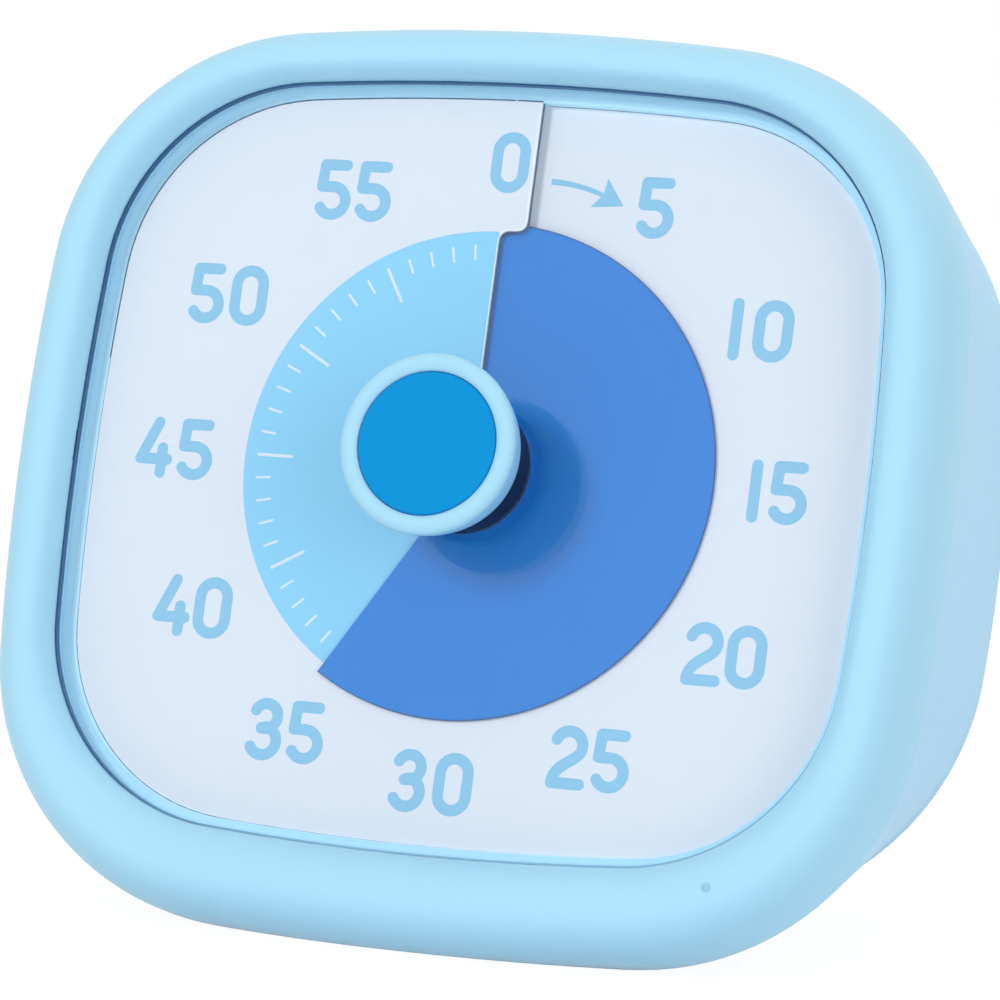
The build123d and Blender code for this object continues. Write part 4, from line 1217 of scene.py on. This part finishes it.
def film_sheet():
    """Film cut along one radius: raised at one side of the cut and lowered at the other.

    At an angle past the cut, the height is the middle one, plus FILM_OFFSET that falls away
    over FILM_RAMP degrees, less FILM_OFFSET that comes in over the last FILM_RAMP degrees.
    """
    after = np.linspace(FILM_CUT, 360 - FILM_CUT, 241)
    up = np.where(after < FILM_RAMP, 1 - after / FILM_RAMP, 0.0)
    down = np.where(after > 360 - FILM_RAMP, 1 - (360 - after) / FILM_RAMP, 0.0)
    middle = DIAL_RISE * FILM_SET / 360 - DIAL_THICK / 2
    height = middle + FILM_OFFSET * (up - down)
    radius = np.linspace(HUB_RADIUS, FILM_RADIUS, 14)
    flat = bearings(FILM_SET - after)[:, None] * radius[None, :, None]
    front = raised(flat, height[:, None] + FILM_THICK / 2)
    return sheet(front, front - [0, 0, FILM_THICK])


class TIMER_OT_knob(bpy.types.Operator):
    """Builds the knob's ring, coloured cap and dark collar"""

    bl_idname = "timer.knob"
    bl_label = "Knob"

    def execute(self, context):
        look = context.scene.timer_look
        plastic = moulded_plastic("knob plastic", shade(look.body, 0.98), 0.34, 0.12, 0.003)
        ring = grid(revolve(ring_profile(), 128), True)
        piece("knob_rim", [ring], "knob", plastic, ("knob_ring",))
        inlay = moulded_plastic("cap plastic", tuple(look.cap), 0.30, 0.10, 0.002, 0.1)
        cap = closed_grid(revolve(cap_profile(), 128))
        piece("knob_inlay", [cap], "knob", inlay, ("knob_cap",), 60)
        dark = moulded_plastic("collar plastic", (0.004, 0.010, 0.038), 0.3, 0.2, 0.002, 0.2)
        collar = grid(revolve(collar_profile()), True)
        piece("knob_sleeve", [collar], "knob", dark, ("knob_collar",))
        return {"FINISHED"}


def ring_profile():
    """Section of the ring: flank and rim are arcs through three points, the seat is square."""
    seam = (KNOB_RADIUS, KNOB_SEAM_Z)
    flank = through((KNOB_REAR_RADIUS, KNOB_REAR_Z), KNOB_WAIST, seam, 16)
    rim = through(seam, KNOB_CREST, (SEAT_RADIUS, SEAT_TOP_Z), 20)
    seat = [(SEAT_RADIUS, CAP_BACK_Z), (CORE_RADIUS, CAP_BACK_Z), (CORE_RADIUS, KNOB_REAR_Z)]
    return np.concatenate([flank, rim[1:], seat])


def cap_profile():
    """Section of the cap: a straight side, a quarter arc and the flat face."""
    edge = arc((CAP_RADIUS - CAP_ROUND, CAP_Z - CAP_ROUND), CAP_ROUND, 0, 90, 6)
    return np.concatenate([[(CAP_RADIUS, CAP_BACK_Z)], edge, [(4.0, CAP_Z), (2.0, CAP_Z)]])


def collar_profile():
    """Section of the collar: a sleeve with both edges bevelled, and the core in the ring."""
    return [
        (COLLAR_RADIUS - COLLAR_LOW_BEVEL, LENS_BACK_Z),
        (COLLAR_RADIUS, LENS_BACK_Z + COLLAR_LOW_BEVEL),
        (COLLAR_RADIUS, KNOB_REAR_Z - COLLAR_TOP_BEVEL),
        (COLLAR_RADIUS - COLLAR_TOP_BEVEL, KNOB_REAR_Z),
        (CORE_RADIUS, KNOB_REAR_Z),
        (CORE_RADIUS, CORE_TOP_Z),
        (SPINDLE_RADIUS, CORE_TOP_Z),
        (SPINDLE_RADIUS, LENS_BACK_Z),
    ]


class TIMER_OT_works(bpy.types.Operator):
    """Gives the frame, movement, board, battery and screws their finishes"""

    bl_idname = "timer.works"
    bl_label = "Works"

    def execute(self, context):
        # painted glow: the tray gives off a little light of its own, so the band beside the
        # window shows brighter
        tray = moulded_plastic("tray plastic", (0.46, 0.78, 0.94), 0.5, painted_glow=0.22)
        black = moulded_plastic("black plastic", (0.02, 0.02, 0.023), 0.4)
        slider = moulded_plastic("slider plastic", (0.015, 0.016, 0.02), 0.5)
        natural = moulded_plastic("natural acetal", (0.80, 0.79, 0.72), 0.35)
        resin = moulded_plastic("potting resin", (0.01, 0.01, 0.012), 0.18, 0.5, 0.003)
        film = coloured_film("hub film", tuple(context.scene.timer_look.disc))
        steel = turned_metal("bright steel", (0.62, 0.62, 0.64))
        nickel = turned_metal("nickel plate", (0.72, 0.70, 0.66), 0.22)
        can = turned_metal("drawn can", (0.75, 0.75, 0.76), 0.25)
        board = laminate("green laminate", (0.01, 0.12, 0.04))
        sleeve = cell_sleeve("cell sleeve", (0.02, 0.022, 0.026), (0.55, 0.33, 0.10))
        lamp = moulded_plastic("lamp epoxy", (0.75, 0.82, 0.78), 0.12, 0.4, 0.001)
        pipe = moulded_plastic("light pipe", (0.33, 0.62, 0.80), 0.15, 0.3, 0.001)
        finish_nodes({
            "inner_frame": tray,
            "disc_hub": film,
            "spindle": steel,
            "movement_front": black,
            "movement_back": black,
            "centre_wheel": natural,
            "circuit_board": board,
            "buzzer": black,
            "chip_cover": resin,
            "crystal": can,
            "switch_body": can,
            "switch_slider": slider,
            "battery_cell": sleeve,
            "contact_positive": nickel,
            "contact_negative": nickel,
            "indicator_led": lamp,
            "light_pipe": pipe,
            "housing_screws": steel,
            "frame_screws": steel,
            "movement_screws": steel,
            "board_screws": steel,
        })
        return {"FINISHED"}


class TIMER_OT_stage(bpy.types.Operator):
    """Sets the floor, the studio light and the camera"""

    bl_idname = "timer.stage"
    bl_label = "Stage"

    def execute(self, context):
        scene = context.scene
        scene.view_settings.view_transform = "Standard"
        floor_stage()
        scene.world = studio_world()
        for name, place, size, power in LAMPS:
            soft_lamp(name, place, size, power)
        timer_camera(scene)
        return {"FINISHED"}


def floor_stage():
    """Pale floor that shows as white to the camera and keeps a soft shadow."""
    mesh = bpy.data.meshes.new("floor")
    side = FLOOR_SIDE / 2
    corners = [(-side, -side), (side, -side), (side, side), (-side, side)]
    mesh.from_pydata([(x, y, FLOOR_Z) for x, y in corners], [], [(0, 1, 2, 3)])
    finish = Finish("pale floor")
    paint = finish.node("ShaderNodeBsdfDiffuse", None, {"Color": (0.85, 0.87, 0.9, 1.0)})
    white = {"Color": (1.0, 1.0, 1.0, 1.0), "Strength": 1.10}
    glow = finish.node("ShaderNodeEmission", None, white)
    mesh.materials.append(finish.end(finish.mix(finish.seen() * 0.85, paint, glow)))
    floor = bpy.data.objects.new("floor", mesh)
    bpy.context.scene.collection.objects.link(floor)


def studio_world():
    """Even studio surroundings: white where they are seen or mirrored."""
    finish = Finish("studio", "worlds")
    strength = WORLD_LEVEL + finish.seen() * (1.0 - WORLD_LEVEL)
    white = {"Color": (1.0, 1.0, 1.0, 1.0), "Strength": strength}
    glow = finish.node("ShaderNodeBackground", None, white)
    return finish.end(glow, "ShaderNodeOutputWorld")


def soft_lamp(name, place, size, power):
    """Square area lamp turned towards the middle of the timer."""
    lamp = bpy.data.lights.new(name, "AREA")
    lamp.size = size
    lamp.energy = power
    made = bpy.data.objects.new(name, lamp)
    made.location = place
    towards = Vector((0.0, 0.0, 0.04)) - made.location
    made.rotation_euler = towards.to_track_quat("-Z", "Y").to_euler()
    made.visible_glossy = False
    bpy.context.scene.collection.objects.link(made)


def timer_camera(scene):
    """Long lens, to the right of the timer and a little above it."""
    camera = bpy.data.cameras.new("camera")
    camera.sensor_width = 36.0
    camera.lens = CAMERA_LENS
    camera.clip_start = 0.01
    camera.clip_end = 20.0
    made = bpy.data.objects.new("camera", camera)
    azimuth, elevation, roll = (radians(angle) for angle in CAMERA_TURN)
    turn = Matrix.Rotation(azimuth, 4, "Z") @ Matrix.Rotation(pi / 2 - elevation, 4, "X")
    turn = turn @ Matrix.Rotation(roll, 4, "Z")
    made.matrix_world = Matrix.Translation(stand(np.array(CAMERA_PLACE))) @ turn
    scene.collection.objects.link(made)
    scene.camera = made


class TIMER_PT_sidebar(bpy.types.Panel):
    """Lists the timer's pieces in the sidebar"""

    bl_idname = "TIMER_PT_sidebar"
    bl_label = "Visual timer"
    bl_space_type = "VIEW_3D"
    bl_region_type = "UI"
    bl_category = "Timer"

    def draw(self, context):
        layout = self.layout
        for group in (context.scene.timer_look, context.scene.timer_sizes):
            for name in group.__annotations__:
                layout.prop(group, name)
        for operator in OPERATORS:
            layout.operator(operator.bl_idname)


OPERATORS = (
    TIMER_OT_stage,
    TIMER_OT_housing,
    TIMER_OT_window,
    TIMER_OT_dial,
    TIMER_OT_scale,
    TIMER_OT_time_disc,
    TIMER_OT_knob,
    TIMER_OT_works,
)
CLASSES = (TimerLook, TimerSizes) + OPERATORS + (TIMER_PT_sidebar,)


def register():
    for item in CLASSES:
        bpy.utils.register_class(item)
    bpy.types.Scene.timer_look = bpy.props.PointerProperty(type=TimerLook)
    bpy.types.Scene.timer_sizes = bpy.props.PointerProperty(type=TimerSizes)


def unregister():
    del bpy.types.Scene.timer_sizes
    del bpy.types.Scene.timer_look
    for item in reversed(CLASSES):
        bpy.utils.unregister_class(item)


def main():
    """Registers the add-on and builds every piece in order."""
    register()
    bpy.ops.timer.stage()
    bpy.ops.timer.housing()
    bpy.ops.timer.window()
    bpy.ops.timer.dial()
    bpy.ops.timer.scale()
    bpy.ops.timer.time_disc()
    bpy.ops.timer.knob()
    bpy.ops.timer.works()


if __name__ == "__main__":
    main()
